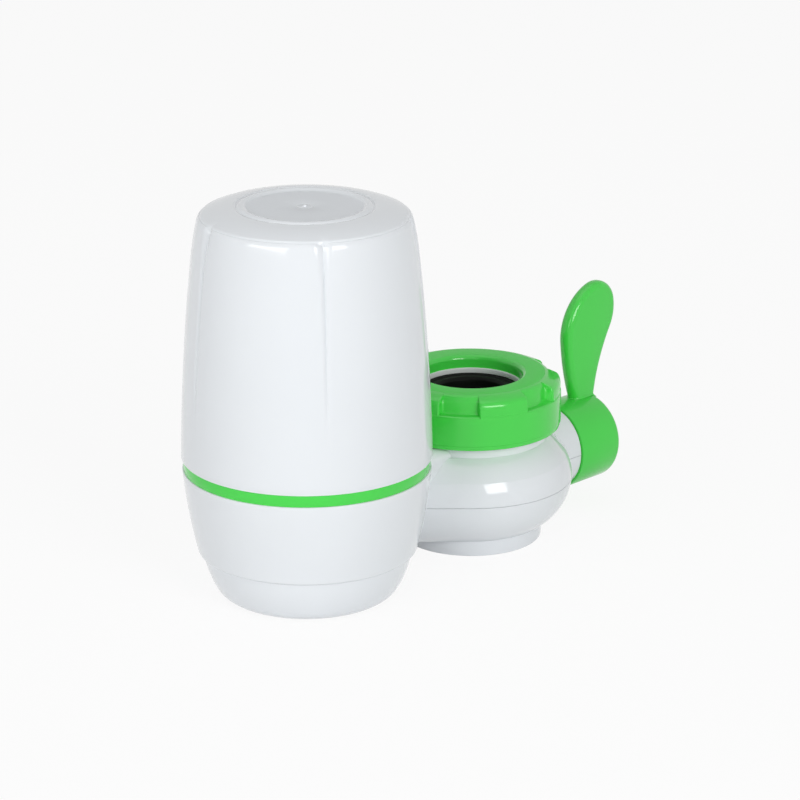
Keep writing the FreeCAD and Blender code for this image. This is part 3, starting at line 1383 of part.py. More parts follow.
def tower_saddle():
    """The tower's outside, grown by a seat gap, that both shells are cut to."""
    grow = sizes.seat_gap
    corners = [(as_term(0.0), as_term(-1.0)), (sizes.foot_flat_radius + grow, as_term(-1.0))]
    corners += tower_side(grow)[1:]
    corners.append((sizes.cover_rim_radius + sizes.free_gap, sizes.ring_foot))
    corners.append((sizes.cover_rim_radius + sizes.free_gap, sizes.shoulder_height))
    corners.append((as_term(0.0), sizes.shoulder_height))
    saddle = doc.addObject("Part::Revolution", "tower_saddle")
    saddle.Source = free_sketch("tower_saddle_outline", corners, 0.0)
    saddle.Axis = FreeCAD.Vector(0, 0, 1)
    saddle.Base = FreeCAD.Vector(0, 0, 0)
    saddle.Angle = 360.0
    saddle.Solid = True
    saddle.setExpression("Placement.Base.x", (-sizes.tower_spacing).text)
    return saddle


def cut_shell(label, outer_parts, inner_parts):
    outer = doc.addObject("Part::MultiFuse", label + "_outside")
    outer.Shapes = outer_parts
    inner = doc.addObject("Part::MultiFuse", label + "_inside")
    inner.Shapes = inner_parts
    shell = doc.addObject("Part::Cut", "Shell_" + label)
    shell.Base = outer
    shell.Tool = inner
    shell.Label = label
    set_down(shell)


def valve_shells():
    """Two shells round the valve block, parted at the core's axis."""
    wall = sizes.shell_wall
    foot = sizes.seam_height + sizes.seam_gap
    arm_far = -sizes.tower_spacing + sizes.cap_rim_radius - 4.0
    arm_near = -sizes.waist_radius
    reach = sizes.dome_radius + 1.0
    saddle = tower_saddle()
    bore = doc.addObject("Part::Cylinder", "neck_hole")
    bore.setExpression("Radius", (sizes.waist_radius + sizes.seat_gap).text)
    bore.setExpression("Height", (sizes.cup_top - sizes.seam_height).text)
    bore.setExpression("Placement.Base.z", sizes.seam_height.text)
    seat = doc.addObject("Part::Cylinder", "collar_hole")
    seat.setExpression("Radius", (sizes.collar_radius + sizes.seat_gap).text)
    seat.setExpression("Height", (sizes.cup_top - sizes.dome_top_height).text)
    seat.setExpression("Placement.Base.z", sizes.dome_top_height.text)
    cut_shell("shell_upper", [
        drop_form("upper_outside", upper_corners(0.0), reach),
        arm_form("arm_upper", arm_far, arm_near, sizes.arm_half, foot,
                 sizes.arm_top, sizes.arm_edge),
        half_rod("stub_upper", sizes.waist_radius, sizes.stub_cover_end,
                 sizes.stub_cover_radius, True, foot),
    ], [
        drop_form("upper_inside", upper_corners(wall), reach - wall),
        arm_form("arm_upper_inside", arm_far - 1.0, arm_near, sizes.arm_half - wall, foot,
                 sizes.arm_top - wall, sizes.arm_edge - wall),
        half_rod("stub_upper_inside", as_term(0.0), sizes.stub_cover_end + 1.0,
                 sizes.stub_cover_radius - wall, True, foot),
        bore,
        seat,
        saddle,
    ])
    opening = doc.addObject("Part::Cylinder", "foot_hole")
    opening.setExpression("Radius", (sizes.skirt_spigot_radius + sizes.seat_gap).text)
    opening.setExpression("Height", sizes.seam_height.text)
    cut_shell("shell_lower", [
        drop_form("lower_outside", lower_corners(0.0, sizes.dome_foot_height), reach),
        half_rod("arm_lower", arm_far, arm_near, sizes.arm_half, False, sizes.seam_height),
        half_rod("stub_lower", sizes.waist_radius, sizes.stub_cover_end,
                 sizes.stub_cover_radius, False, sizes.seam_height),
    ], [
        drop_form("lower_inside", lower_corners(wall, sizes.dome_foot_height + wall), reach - wall),
        half_rod("arm_lower_inside", arm_far - 1.0, arm_near, sizes.arm_half - wall,
                 False, sizes.seam_height),
        half_rod("stub_lower_inside", as_term(0.0), sizes.stub_cover_end + 1.0,
                 sizes.stub_cover_radius - wall, False, sizes.seam_height),
        opening,
        saddle,
    ])


def check_and_write():
    """Stops at a failed or empty piece, then writes one file for each node."""
    doc.recompute()
    for thing in doc.Objects:
        if "Invalid" in thing.State or "Error" in thing.State:
            raise RuntimeError(thing.Name + " failed: " + str(thing.State))
    os.makedirs("parts", exist_ok=True)
    for node in NODES:
        shape = node.Shape
        if shape.isNull() or not shape.isValid() or not shape.Solids:
            raise RuntimeError(node.Label + " has no valid solid")
        shape.exportStep("parts/" + node.Label + ".step")
        print(node.Label, len(shape.Solids), round(shape.Volume, 1))


filter_base()
bottom_cap()
outlet_nozzle()
nozzle_ring()
accent_ring()
filter_cover()
cover_seal()
cartridge()
valve_block()
nipple_rings()
core_rings()
valve_core()
core_gland()
lever_handle()
lever_screw()
screw_cover()
union_nut()
adapter_ring()
grip_ring()
inlet_strainer()
outlet_skirt()
spray_plate()
outlet_gasket()
valve_shells()
check_and_write()
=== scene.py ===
"""Shapes, finishes, light and camera for a faucet mount water filter.

An outline of a piece that is turned about an upright axis gives the radius and the height
above the feet, and one about the valve core's axis gives the place along it and the radius.
Both are in millimetres. Everything in the scene is in metres.
"""
import math

import bmesh
import bpy
from bpy.props import FloatProperty, FloatVectorProperty, IntProperty, PointerProperty
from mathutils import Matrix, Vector


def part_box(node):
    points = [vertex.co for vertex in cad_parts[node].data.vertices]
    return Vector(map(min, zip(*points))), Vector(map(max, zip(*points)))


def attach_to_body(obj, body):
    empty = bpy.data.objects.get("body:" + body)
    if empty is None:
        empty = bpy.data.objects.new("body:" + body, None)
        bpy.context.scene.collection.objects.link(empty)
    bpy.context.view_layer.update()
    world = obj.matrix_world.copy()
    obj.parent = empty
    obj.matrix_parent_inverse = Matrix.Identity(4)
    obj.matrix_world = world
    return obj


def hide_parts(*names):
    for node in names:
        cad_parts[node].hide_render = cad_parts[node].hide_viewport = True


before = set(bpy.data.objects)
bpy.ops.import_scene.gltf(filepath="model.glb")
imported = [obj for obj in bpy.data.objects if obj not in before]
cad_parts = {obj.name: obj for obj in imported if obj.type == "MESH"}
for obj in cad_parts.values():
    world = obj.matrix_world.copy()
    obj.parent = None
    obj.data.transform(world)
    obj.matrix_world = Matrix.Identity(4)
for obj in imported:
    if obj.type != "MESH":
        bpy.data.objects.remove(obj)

bl_info = {
    "name": "Faucet mount water filter",
    "version": (1, 0, 0),
    "blender": (4, 5, 0),
    "location": "3D View > Sidebar > Water filter",
    "description": "Shapes and finishes of a water filter that is mounted on a tap",
    "category": "Object",
}

MM = 0.001
TOUCH = 0.001                       # millimetres within which two places are one
FIT = 0.02                          # millimetres within which a place is on an outline
WELD = 2e-6                         # metres within which two points are merged
SHARP = math.radians(30.0)          # edges with a greater angle are rounded by soften
SMOOTH = math.radians(32.0)         # edges with a smaller angle are shaded smooth
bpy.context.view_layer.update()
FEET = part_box("bottom_cap")[0][2]
TOWER_X = (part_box("filter_base")[0][0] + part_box("filter_base")[1][0]) / 2
CORE_Z = (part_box("screw_cover")[0][2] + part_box("screw_cover")[1][2]) / 2


def length(name, description, default):
    """A size in metres."""
    return FloatProperty(
        name=name, description=description, default=default, min=0.0, unit="LENGTH",
        subtype="DISTANCE", precision=5)


def angle(name, description, default):
    """An angle, with its first value in degrees."""
    return FloatProperty(
        name=name, description=description, default=math.radians(default), subtype="ANGLE")


def colour(name, description, default):
    """A colour in linear red, green and blue."""
    return FloatVectorProperty(
        name=name, description=description, default=default, size=3, min=0.0, max=1.0,
        subtype="COLOR")


class FilterSizes(bpy.types.PropertyGroup):
    """Sizes that change the look of the finished pieces."""

    steps: IntProperty(
        name="Steps", description="Steps round a turned piece", default=240, min=24)
    edge: length("Edge rounding", "Rounding of the small moulded edges", 0.00025)
    petals: IntProperty(name="Petals", description="Petals round the cover", default=5, min=1)
    first_crease: angle("First crease", "Place of the first crease round the tower", 19.7)
    crease_depth: length("Crease depth", "Depth of a crease at the shoulder", 0.0012)
    crease_reach: length("Crease half width", "Half the width of a crease", 0.0019)
    lug_count: IntProperty(name="Lugs", description="Grip lugs on the nut", default=6, min=1)
    lug_width: angle("Lug width", "Angle that one lug takes", 34.0)
    first_lug: angle("First lug", "Middle of the first lug, from the lever", 5.8)
    blade_thickness: length("Blade thickness", "Thickness of the lever's blade", 0.005)
    blade_rounding: length("Blade rounding", "Rounding of the blade's rim", 0.0022)
    thread_pitch: length("Thread pitch", "Rise of a thread in one turn", 0.004)


class FilterFinishes(bpy.types.PropertyGroup):
    """Colours of the finishes, as light returned by each."""

    white: colour("White plastic", "Glossy housing plastic", (0.79, 0.82, 0.85))
    green: colour("Green plastic", "Nut, lever and accent ring", (0.060, 0.68, 0.070))
    inner: colour("Inner plastic", "Unpolished inner mouldings", (0.70, 0.72, 0.72))
    rubber: colour("Rubber", "Seals and grip ring", (0.004, 0.005, 0.004))
    ceramic: colour("Ceramic", "Filter candle", (0.80, 0.77, 0.70))
    carbon: colour("Carbon", "Carbon block", (0.018, 0.018, 0.019))
    fibre: colour("Fibre", "Fibre pad", (0.82, 0.82, 0.80))
    steel: colour("Steel", "Lever screw and strainer", (0.56, 0.56, 0.57))


# drawing and turning

def choose(piece):
    """Leaves one piece selected and active."""
    bpy.ops.object.select_all(action="DESELECT")
    piece.select_set(True)
    bpy.context.view_layer.objects.active = piece


def arc_points(start, end, radius, rows):
    """Points after the start of an arc that turns left, or right for a negative radius."""
    start, end = Vector(start), Vector(end)
    chord = end - start
    rise = math.sqrt(max(radius * radius - chord.length_squared / 4, 0.0))
    side = Vector((-chord.y, chord.x)).normalized()
    centre = (start + end) / 2 + side * (rise if radius > 0 else -rise)
    first = math.atan2(start.y - centre.y, start.x - centre.x)
    last = math.atan2(end.y - centre.y, end.x - centre.x)
    sweep = (last - first + math.pi) % (2 * math.pi) - math.pi
    points = []
    for row in range(1, rows + 1):
        now = first + sweep * row / rows
        points.append(centre + Vector((math.cos(now), math.sin(now))) * abs(radius))
    return points


def outline(corners):
    """Points of an outline. A corner with four values is the end of an arc."""
    points = [Vector(corners[0][:2])]
    for corner in corners[1:]:
        if len(corner) == 2:
            points.append(Vector(corner))
        else:
            points += arc_points(points[-1], corner[:2], corner[2], corner[3])
    return points


def closed(points, axis):
    """The outline with its first point again at its end, unless both ends are on the axis."""
    first, last = points[0], points[-1]
    if (first - last).length > TOUCH and (first[axis] > 0 or last[axis] > 0):
        points.append(first)
    return points


def along(value, table):
    """Value read between the rows of a table."""
    if value <= table[0][0]:
        return table[0][1]
    for (low, first), (high, second) in zip(table, table[1:]):
        if value <= high:
            share = (value - low) / (high - low)
            return first + (second - first) * share
    return table[-1][1]


def above_feet(height):
    """Level in metres of a height in millimetres above the feet."""
    return FEET + height * MM


def height_of(place):
    """Height of a place above the feet, in millimetres."""
    return (place.z - FEET) / MM


def radius_of(place, x=0.0):
    """Distance of a place from an upright axis, in millimetres."""
    return math.hypot(place.x - x, place.y) / MM


def draw(name, places):
    """A new piece, open for editing, that is a line of edges through the places."""
    bpy.ops.object.select_all(action="DESELECT")
    bpy.ops.mesh.primitive_plane_add(size=MM, location=places[0])
    piece = bpy.context.object
    piece.name = name
    piece.data.name = name
    bpy.ops.object.mode_set(mode="EDIT")
    bpy.ops.mesh.select_mode(type="VERT")
    bpy.ops.mesh.select_all(action="SELECT")
    bpy.ops.mesh.merge(type="CENTER")
    for before, after in zip(places, places[1:]):
        bpy.ops.mesh.extrude_vertices_move(TRANSFORM_OT_translate={"value": after - before})
    return piece


def settle(piece):
    """Puts the piece's origin back at the world's, with its place in its mesh."""
    choose(piece)
    bpy.ops.object.transform_apply(location=True, rotation=True, scale=True)


def close_up(piece):
    """Merges doubled points, turns the faces outwards and leaves edit mode."""
    bpy.ops.mesh.select_all(action="SELECT")
    bpy.ops.mesh.remove_doubles(threshold=WELD)
    bpy.ops.mesh.select_all(action="SELECT")
    bpy.ops.mesh.normals_make_consistent(inside=False)
    bpy.ops.object.mode_set(mode="OBJECT")
    settle(piece)


def turned(name, corners, steps, x=0.0, start=0.0):
    """A piece turned about an upright axis from an outline of radius and height."""
    points = closed(outline(corners), 0)
    way = Vector((math.cos(start), math.sin(start), 0))
    centre = Vector((x, 0, 0))
    places = [centre + way * (p.x * MM) + Vector((0, 0, above_feet(p.y))) for p in points]
    piece = draw(name, places)
    bpy.ops.mesh.select_all(action="SELECT")
    bpy.ops.mesh.spin(steps=steps, angle=2 * math.pi, center=centre, axis=(0, 0, 1))
    close_up(piece)
    return piece


def turned_level(name, corners, steps):
    """A piece turned about the valve core's axis from an outline of place and radius."""
    points = closed(outline(corners), 1)
    places = [Vector((p.x * MM, 0, CORE_Z + p.y * MM)) for p in points]
    piece = draw(name, places)
    bpy.ops.mesh.select_all(action="SELECT")
    bpy.ops.mesh.spin(steps=steps, angle=2 * math.pi, center=(0, 0, CORE_Z), axis=(1, 0, 0))
    close_up(piece)
    return piece


def rod(name, start, end, radius, x=0.0):
    """A closed rod along X at the height of the core's axis, to join or cut with."""
    bpy.ops.object.select_all(action="DESELECT")
    middle = Vector((x + (start + end) / 2 * MM, 0, CORE_Z))
    bpy.ops.mesh.primitive_cylinder_add(
        vertices=64, radius=radius * MM, depth=(end - start) * MM, location=middle,
        rotation=(0, math.pi / 2, 0))
    piece = bpy.context.object
    piece.name = name
    settle(piece)
    return piece


def block(name, low, high):
    """A closed box between two corners in metres, to join or cut with."""
    bpy.ops.object.select_all(action="DESELECT")
    low, high = Vector(low), Vector(high)
    bpy.ops.mesh.primitive_cube_add(size=1.0, location=(low + high) / 2, scale=high - low)
    piece = bpy.context.object
    piece.name = name
    settle(piece)
    return piece


def combine(piece, tool, operation):
    """Joins a tool with the piece, or cuts the piece with it, and uses the tool up."""
    modifier = piece.modifiers.new(operation, "BOOLEAN")
    modifier.object = tool
    modifier.operation = operation
    modifier.solver = "EXACT"
    choose(piece)
    bpy.ops.object.modifier_apply(modifier=modifier.name)
    bpy.data.objects.remove(tool, do_unlink=True)


def soften(piece, width, segments=3):
    """Rounds the piece's sharp edges."""
    modifier = piece.modifiers.new("Edges", "BEVEL")
    modifier.width = width
    modifier.segments = segments
    modifier.limit_method = "ANGLE"
    modifier.angle_limit = SHARP
    choose(piece)
    bpy.ops.object.modifier_apply(modifier=modifier.name)


def pick(piece, kind, test):
    """Selects the faces, edges or points that pass a test, and nothing else."""
    bpy.ops.mesh.select_mode(type={"verts": "VERT", "edges": "EDGE", "faces": "FACE"}[kind])
    bpy.ops.mesh.select_all(action="DESELECT")
    grid = bmesh.from_edit_mesh(piece.data)
    found = [part for part in getattr(grid, kind) if test(part)]
    for part in found:
        part.select_set(True)
    bmesh.update_edit_mesh(piece.data)
    return len(found)


def thread(name, root, crest, first, turns, pitch, x=0.0):
    """A thread ridge round an upright neck, closed at both ends.

    The ridge starts at the height first, and its foot is sunk a little into the neck.
    """
    foot = root - 0.3
    half = pitch * 0.22 / MM
    wide, narrow = half * 1.4, half * 0.5
    points = [(foot, first - wide), (crest, first - narrow),
              (crest, first + narrow), (foot, first + wide)]
    places = [Vector((x + r * MM, 0, above_feet(z))) for r, z in points + points[:1]]
    ridge = draw(name, places)
    bpy.ops.mesh.select_all(action="SELECT")
    bpy.ops.mesh.remove_doubles(threshold=WELD)
    bpy.ops.object.mode_set(mode="OBJECT")
    settle(ridge)
    bpy.context.scene.cursor.location = (x, 0, 0)
    bpy.ops.object.origin_set(type="ORIGIN_CURSOR")
    bpy.context.scene.cursor.location = (0, 0, 0)
    screw = ridge.modifiers.new("Thread", "SCREW")
    screw.axis = "Z"
    screw.screw_offset = pitch
    screw.iterations = turns
    screw.steps = screw.render_steps = 120
    screw.use_smooth_shade = False
    bpy.ops.object.modifier_apply(modifier=screw.name)
    bpy.ops.object.mode_set(mode="EDIT")
    bpy.ops.mesh.select_all(action="SELECT")
    bpy.ops.mesh.fill_holes(sides=4)
    close_up(ridge)
    return ridge


def attach(piece, *others):
    """Joins other objects into the piece as further parts of one moulding."""
    bpy.ops.object.select_all(action="DESELECT")
    for other in others:
        other.select_set(True)
    piece.select_set(True)
    bpy.context.view_layer.objects.active = piece
    bpy.ops.object.join()


def hand_over(piece, body, nodes, finishes):
    """Gives a finished piece its shading, finish and body, and hides the CAD nodes it stands
    for.
    """
    choose(piece)
    bpy.ops.object.shade_smooth_by_angle(angle=SMOOTH, keep_sharp_edges=False)
    piece.data.materials.clear()
    for finish in finishes:
        piece.data.materials.append(bpy.data.materials[finish])
    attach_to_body(piece, body)
    if nodes:
        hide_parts(*nodes)


# finishes

CLOUD_SCALE = 38.0                  # of the change of tone
GLOSS_SCALE = 160.0                 # of the change of roughness
GLOSS_BELOW, GLOSS_ABOVE = 0.04, 0.05           # that change, from the mean roughness
LEAST_ROUGHNESS = 0.02
BUMP_STRENGTH = 0.35


def add_node(tree, kind, place, **settings):
    """A new node with its place in the tree and its settings."""
    node = tree.nodes.new(kind)
    node.location = place
    for name, value in settings.items():
        setattr(node, name, value)
    return node


def noise(tree, place, height, scale, detail):
    """A noise texture over the object's own place."""
    texture = add_node(tree, "ShaderNodeTexNoise", (-650, height))
    texture.inputs["Scale"].default_value = scale
    texture.inputs["Detail"].default_value = detail
    tree.links.new(place.outputs["Object"], texture.inputs["Vector"])
    return texture


def moulded(name, tone, roughness, grain, depth, shift=0.02, shine=0.5, sheen=0.0):
    """A moulded or sintered finish: faint cloudy tone, uneven gloss and a fine surface.

    Grain and depth are those of the surface, and shift is the change of tone.
    """
    material = bpy.data.materials.new(name)
    material.use_nodes = True
    tree = material.node_tree
    tree.nodes.clear()
    output = add_node(tree, "ShaderNodeOutputMaterial", (700, 0))
    shader = add_node(tree, "ShaderNodeBsdfPrincipled", (400, 0))
    place = add_node(tree, "ShaderNodeTexCoord", (-900, 0))
    cloud = noise(tree, place, 250, CLOUD_SCALE, 3.0)
    tint = add_node(tree, "ShaderNodeMix", (-350, 250), data_type="RGBA")
    darker = tuple(value * (1 - shift) for value in tone)
    lighter = tuple(min(value * (1 + shift), 1) for value in tone)
    tint.inputs[6].default_value = darker + (1.0,)
    tint.inputs[7].default_value = lighter + (1.0,)
    gloss = noise(tree, place, -50, GLOSS_SCALE, 4.0)
    spread = add_node(tree, "ShaderNodeMapRange", (-350, -50))
    spread.inputs["To Min"].default_value = max(roughness - GLOSS_BELOW, LEAST_ROUGHNESS)
    spread.inputs["To Max"].default_value = roughness + GLOSS_ABOVE
    relief = noise(tree, place, -350, grain, 2.5)
    bump = add_node(tree, "ShaderNodeBump", (-350, -350))
    bump.inputs["Strength"].default_value = BUMP_STRENGTH
    bump.inputs["Distance"].default_value = depth
    shader.inputs["Specular IOR Level"].default_value = shine
    shader.inputs["Sheen Weight"].default_value = sheen
    link = tree.links.new
    link(cloud.outputs["Fac"], tint.inputs["Factor"])
    link(tint.outputs[2], shader.inputs["Base Color"])
    link(gloss.outputs["Fac"], spread.inputs["Value"])
    link(spread.outputs["Result"], shader.inputs["Roughness"])
    link(relief.outputs["Fac"], bump.inputs["Height"])
    link(bump.outputs["Normal"], shader.inputs["Normal"])
    link(shader.outputs["BSDF"], output.inputs["Surface"])
    return material


def turned_steel(name, tone):
    """Steel with fine turning marks."""
    material = moulded(name, tone, 0.32, 2200.0, 0.00002, shift=0.05)
    tree = material.node_tree
    shader = next(node for node in tree.nodes if node.type == "BSDF_PRINCIPLED")
    shader.inputs["Metallic"].default_value = 1.0
    return material


class FILTER_OT_finishes(bpy.types.Operator):
    """Makes the finishes of all pieces"""

    bl_idname = "filter.finishes"
    bl_label = "Finishes"

    def execute(self, context):
        tones = context.scene.filter_finishes
        moulded("White gloss", tones.white, 0.10, 260.0, 0.00003, shift=0.012)
        moulded("White satin", tones.white, 0.50, 1500.0, 0.00002, shift=0.012, shine=0.3)
        moulded("Green gloss", tones.green, 0.13, 260.0, 0.00003, shift=0.03)
        moulded("Green satin", tones.green, 0.45, 1800.0, 0.00003, shift=0.03, shine=0.3)
        moulded("Inner plastic", tones.inner, 0.40, 700.0, 0.00003, shift=0.02)
        moulded("Rubber", tones.rubber, 0.50, 1400.0, 0.00004, shift=0.15, shine=0.08)
        moulded("Ceramic", tones.ceramic, 0.72, 1900.0, 0.00008, shift=0.05)
        moulded("Carbon", tones.carbon, 0.80, 1100.0, 0.0003, shift=0.30)
        moulded("Fibre", tones.fibre, 0.90, 2400.0, 0.0003, shift=0.06, sheen=0.4)
        turned_steel("Steel", tones.steel)
        return {"FINISHED"}


# tower

def near_crease(sizes, place):
    """Distance round the tower from the nearest crease, in millimetres."""
    pitch = 2 * math.pi / sizes.petals
    around = math.atan2(place.y, place.x - TOWER_X) - sizes.first_crease
    offset = (around + pitch / 2) % pitch - pitch / 2
    return abs(offset) * radius_of(place, TOWER_X)


class FILTER_OT_cover(bpy.types.Operator):
    """Tall cover with faint petals, and a low bead round the disc on its top"""

    bl_idname = "filter.cover"
    bl_label = "Cover"

    # by height: the side's radius, the crease's depth and its spread
    outside = [(44.6, 38.1), (76.0, 36.6), (109.0, 33.9), (114.0, 33.2), (118.6, 32.0)]
    depths = [(60.0, 0.0), (74.0, 0.30), (92.0, 0.52), (109.0, 0.70), (118.6, 1.0)]
    spreads = [(60.0, 0.55), (92.0, 0.62), (108.0, 0.8), (115.0, 1.35), (118.6, 1.6)]
    # by radius: the crease's depth where it runs out on the top
    top_depths = [(28.5, 0.0), (30.5, 0.12), (31.2, 0.3), (31.5, 1.0)]
    top_spread = 1.6
    top_height, top_radius = 119.3, 31.5
    # the inside, which has no creases, is this far behind the side and below this height
    inside_depth, inside_height = 1.2, 120.0
    # the disc with the satin finish
    disc_height, disc_radius = 122.0, 17.5

    def crease_weight(self, sizes, place):
        """How deep the crease is at a place, as a share of the deepest."""
        height, radius = height_of(place), radius_of(place, TOWER_X)
        inner = along(height, self.outside) - self.inside_depth
        if height < self.inside_height and radius < inner:
            return 0.0
        if height > self.top_height and radius < self.top_radius:
            depth = along(radius, self.top_depths)
            spread = self.top_spread
        else:
            depth = along(height, self.depths)
            spread = along(height, self.spreads)
        half_width = sizes.crease_reach / MM * spread
        side = min(near_crease(sizes, place) / half_width, 1.0)
        return depth * (1 - side) ** 2

    def execute(self, context):
        sizes = context.scene.filter_sizes
        cover = turned("cover", [
            (34.9, 44.6), (35.8, 44.6), (35.8, 43.1), (36.6, 43.1), (36.6, 44.6), (38.0, 44.6),
            (38.1, 44.9), (33.9, 109.0, 700.0, 34), (32.35, 117.9, 100.0, 12),
            (31.55, 119.47, 3.4, 9), (31.28, 119.52), (31.15, 119.74), (30.6, 120.22, 0.9, 6),
            (21.3, 122.4, 30.0, 16), (21.05, 122.34), (20.8, 122.1), (20.5, 122.04),
            (20.2, 122.27), (19.8, 122.58), (19.3, 122.69), (18.9, 122.7), (18.5, 122.64),
            (18.1, 122.48), (17.7, 122.3), (17.3, 122.15), (16.8, 122.07), (16.2, 122.05),
            (9.0, 122.05), (2.7, 122.05), (2.5, 121.98), (2.2, 121.98),
            (2.0, 122.05), (0.7, 122.05), (0.6, 122.4), (0.35, 122.58), (0.0, 122.6),
            (0.0, 119.7), (27.1, 119.7), (29.5, 116.1), (31.4, 106.5), (34.9, 58.0),
            (32.0, 58.0), (32.0, 56.0), (34.9, 56.0), (34.9, 44.6),
        ], 600, x=TOWER_X, start=sizes.first_crease)
        group = cover.vertex_groups.new(name="crease")
        for vertex in cover.data.vertices:
            weight = self.crease_weight(sizes, vertex.co)
            if weight > 0:
                group.add([vertex.index], weight, "REPLACE")
        crease = cover.modifiers.new("Creases", "DISPLACE")
        crease.direction = "NORMAL"
        crease.vertex_group = group.name
        crease.mid_level = 0.0
        crease.strength = -sizes.crease_depth
        choose(cover)
        bpy.ops.object.modifier_apply(modifier=crease.name)
        hand_over(cover, "cover", ["filter_cover"],
                  ["White gloss", "White satin"])
        for face in cover.data.polygons:
            high = height_of(face.center) > self.disc_height
            if high and radius_of(face.center, TOWER_X) < self.disc_radius:
                face.material_index = 1
        return {"FINISHED"}


class FILTER_OT_accent_ring(bpy.types.Operator):
    """Coloured slip ring between the base and the cover"""

    bl_idname = "filter.accent_ring"
    bl_label = "Accent ring"

    def execute(self, context):
        sizes = context.scene.filter_sizes
        ring = turned("slip_ring", [
            (34.9, 40.8), (37.45, 40.8), (37.45, 44.6), (36.9, 44.6), (36.9, 42.8),
            (35.5, 42.8), (35.5, 44.6), (34.9, 44.6),
        ], sizes.steps, x=TOWER_X)
        soften(ring, sizes.edge)
        hand_over(ring, "slip_ring", ["accent_ring"], ["Green gloss"])
        return {"FINISHED"}


class FILTER_OT_tower_base(bpy.types.Operator):
    """Cup under the cover, with its threaded neck, cartridge socket and side inlet"""

    bl_idname = "filter.tower_base"
    bl_label = "Tower base"

    neck = 33.9                     # radius of the neck that bears the thread
    cap_radius, cap_top = 28.6, 14.6            # of the step that the bottom cap fills

    def execute(self, context):
        sizes = context.scene.filter_sizes
        cap_radius, cap_top, neck = self.cap_radius, self.cap_top, self.neck
        base = turned("tower_base", [
            (4.0, 10.5), (cap_radius, 10.5), (cap_radius, cap_top), (32.75, cap_top),
            (33.6, 15.5, 0.95, 6), (37.8, 40.8, 160.0, 14), (neck, 40.8), (neck, 53.4),
            (33.3, 54.0), (31.6, 54.0), (31.6, 40.8), (30.5, 17.6), (25.6, 13.5), (12.0, 13.5),
            (12.0, 25.7), (8.5, 25.7), (8.5, 16.5), (4.0, 16.5),
        ], sizes.steps, x=TOWER_X)
        soften(base, sizes.edge, segments=2)
        boss = rod("boss", 24.5, 32.0, 6.9, x=TOWER_X)
        # the boss is trimmed where the bottom cap's rim passes below it
        low = (TOWER_X + cap_radius * MM, -0.02, FEET)
        high = (TOWER_X + 0.04, 0.02, above_feet(cap_top))
        combine(boss, block("trim", low, high), "DIFFERENCE")
        combine(base, boss, "UNION")
        combine(base, rod("bore", 27.0, 40.0, 4.3, x=TOWER_X), "DIFFERENCE")
        combine(base, rod("port", 23.0, 28.0, 2.6, x=TOWER_X), "DIFFERENCE")
        attach(base, thread("neck_thread", neck, 34.6, 43.2, 2, sizes.thread_pitch, x=TOWER_X))
        hand_over(base, "base", ["filter_base"], ["White gloss"])
        return {"FINISHED"}


class FILTER_OT_bottom(bpy.types.Operator):
    """Bottom cap and the spout for filtered water"""

    bl_idname = "filter.bottom"
    bl_label = "Bottom cap and spout"

    def execute(self, context):
        sizes = context.scene.filter_sizes
        cap = turned("tower_foot", [
            (9.3, 0.0), (22.2, 0.0), (27.85, 2.9, 7.0, 10), (31.95, 14.6, 30.0, 14),
            (28.7, 14.6), (28.7, 10.4), (25.8, 2.9), (22.2, 2.2), (9.3, 2.2),
        ], sizes.steps, x=TOWER_X)
        soften(cap, sizes.edge * 0.8)
        hand_over(cap, "base", ["bottom_cap"], ["White gloss"])
        spout = turned("spout", [
            (5.0, 1.2), (9.0, 1.2), (9.0, 8.5), (12.5, 8.5), (12.5, 10.5), (7.9, 10.5),
            (7.9, 8.7), (6.1, 8.7), (6.1, 10.5), (5.0, 10.5),
        ], 96, x=TOWER_X)
        soften(spout, sizes.edge)
        hand_over(spout, "base", ["outlet_nozzle"], ["White gloss"])
        return {"FINISHED"}


# valve

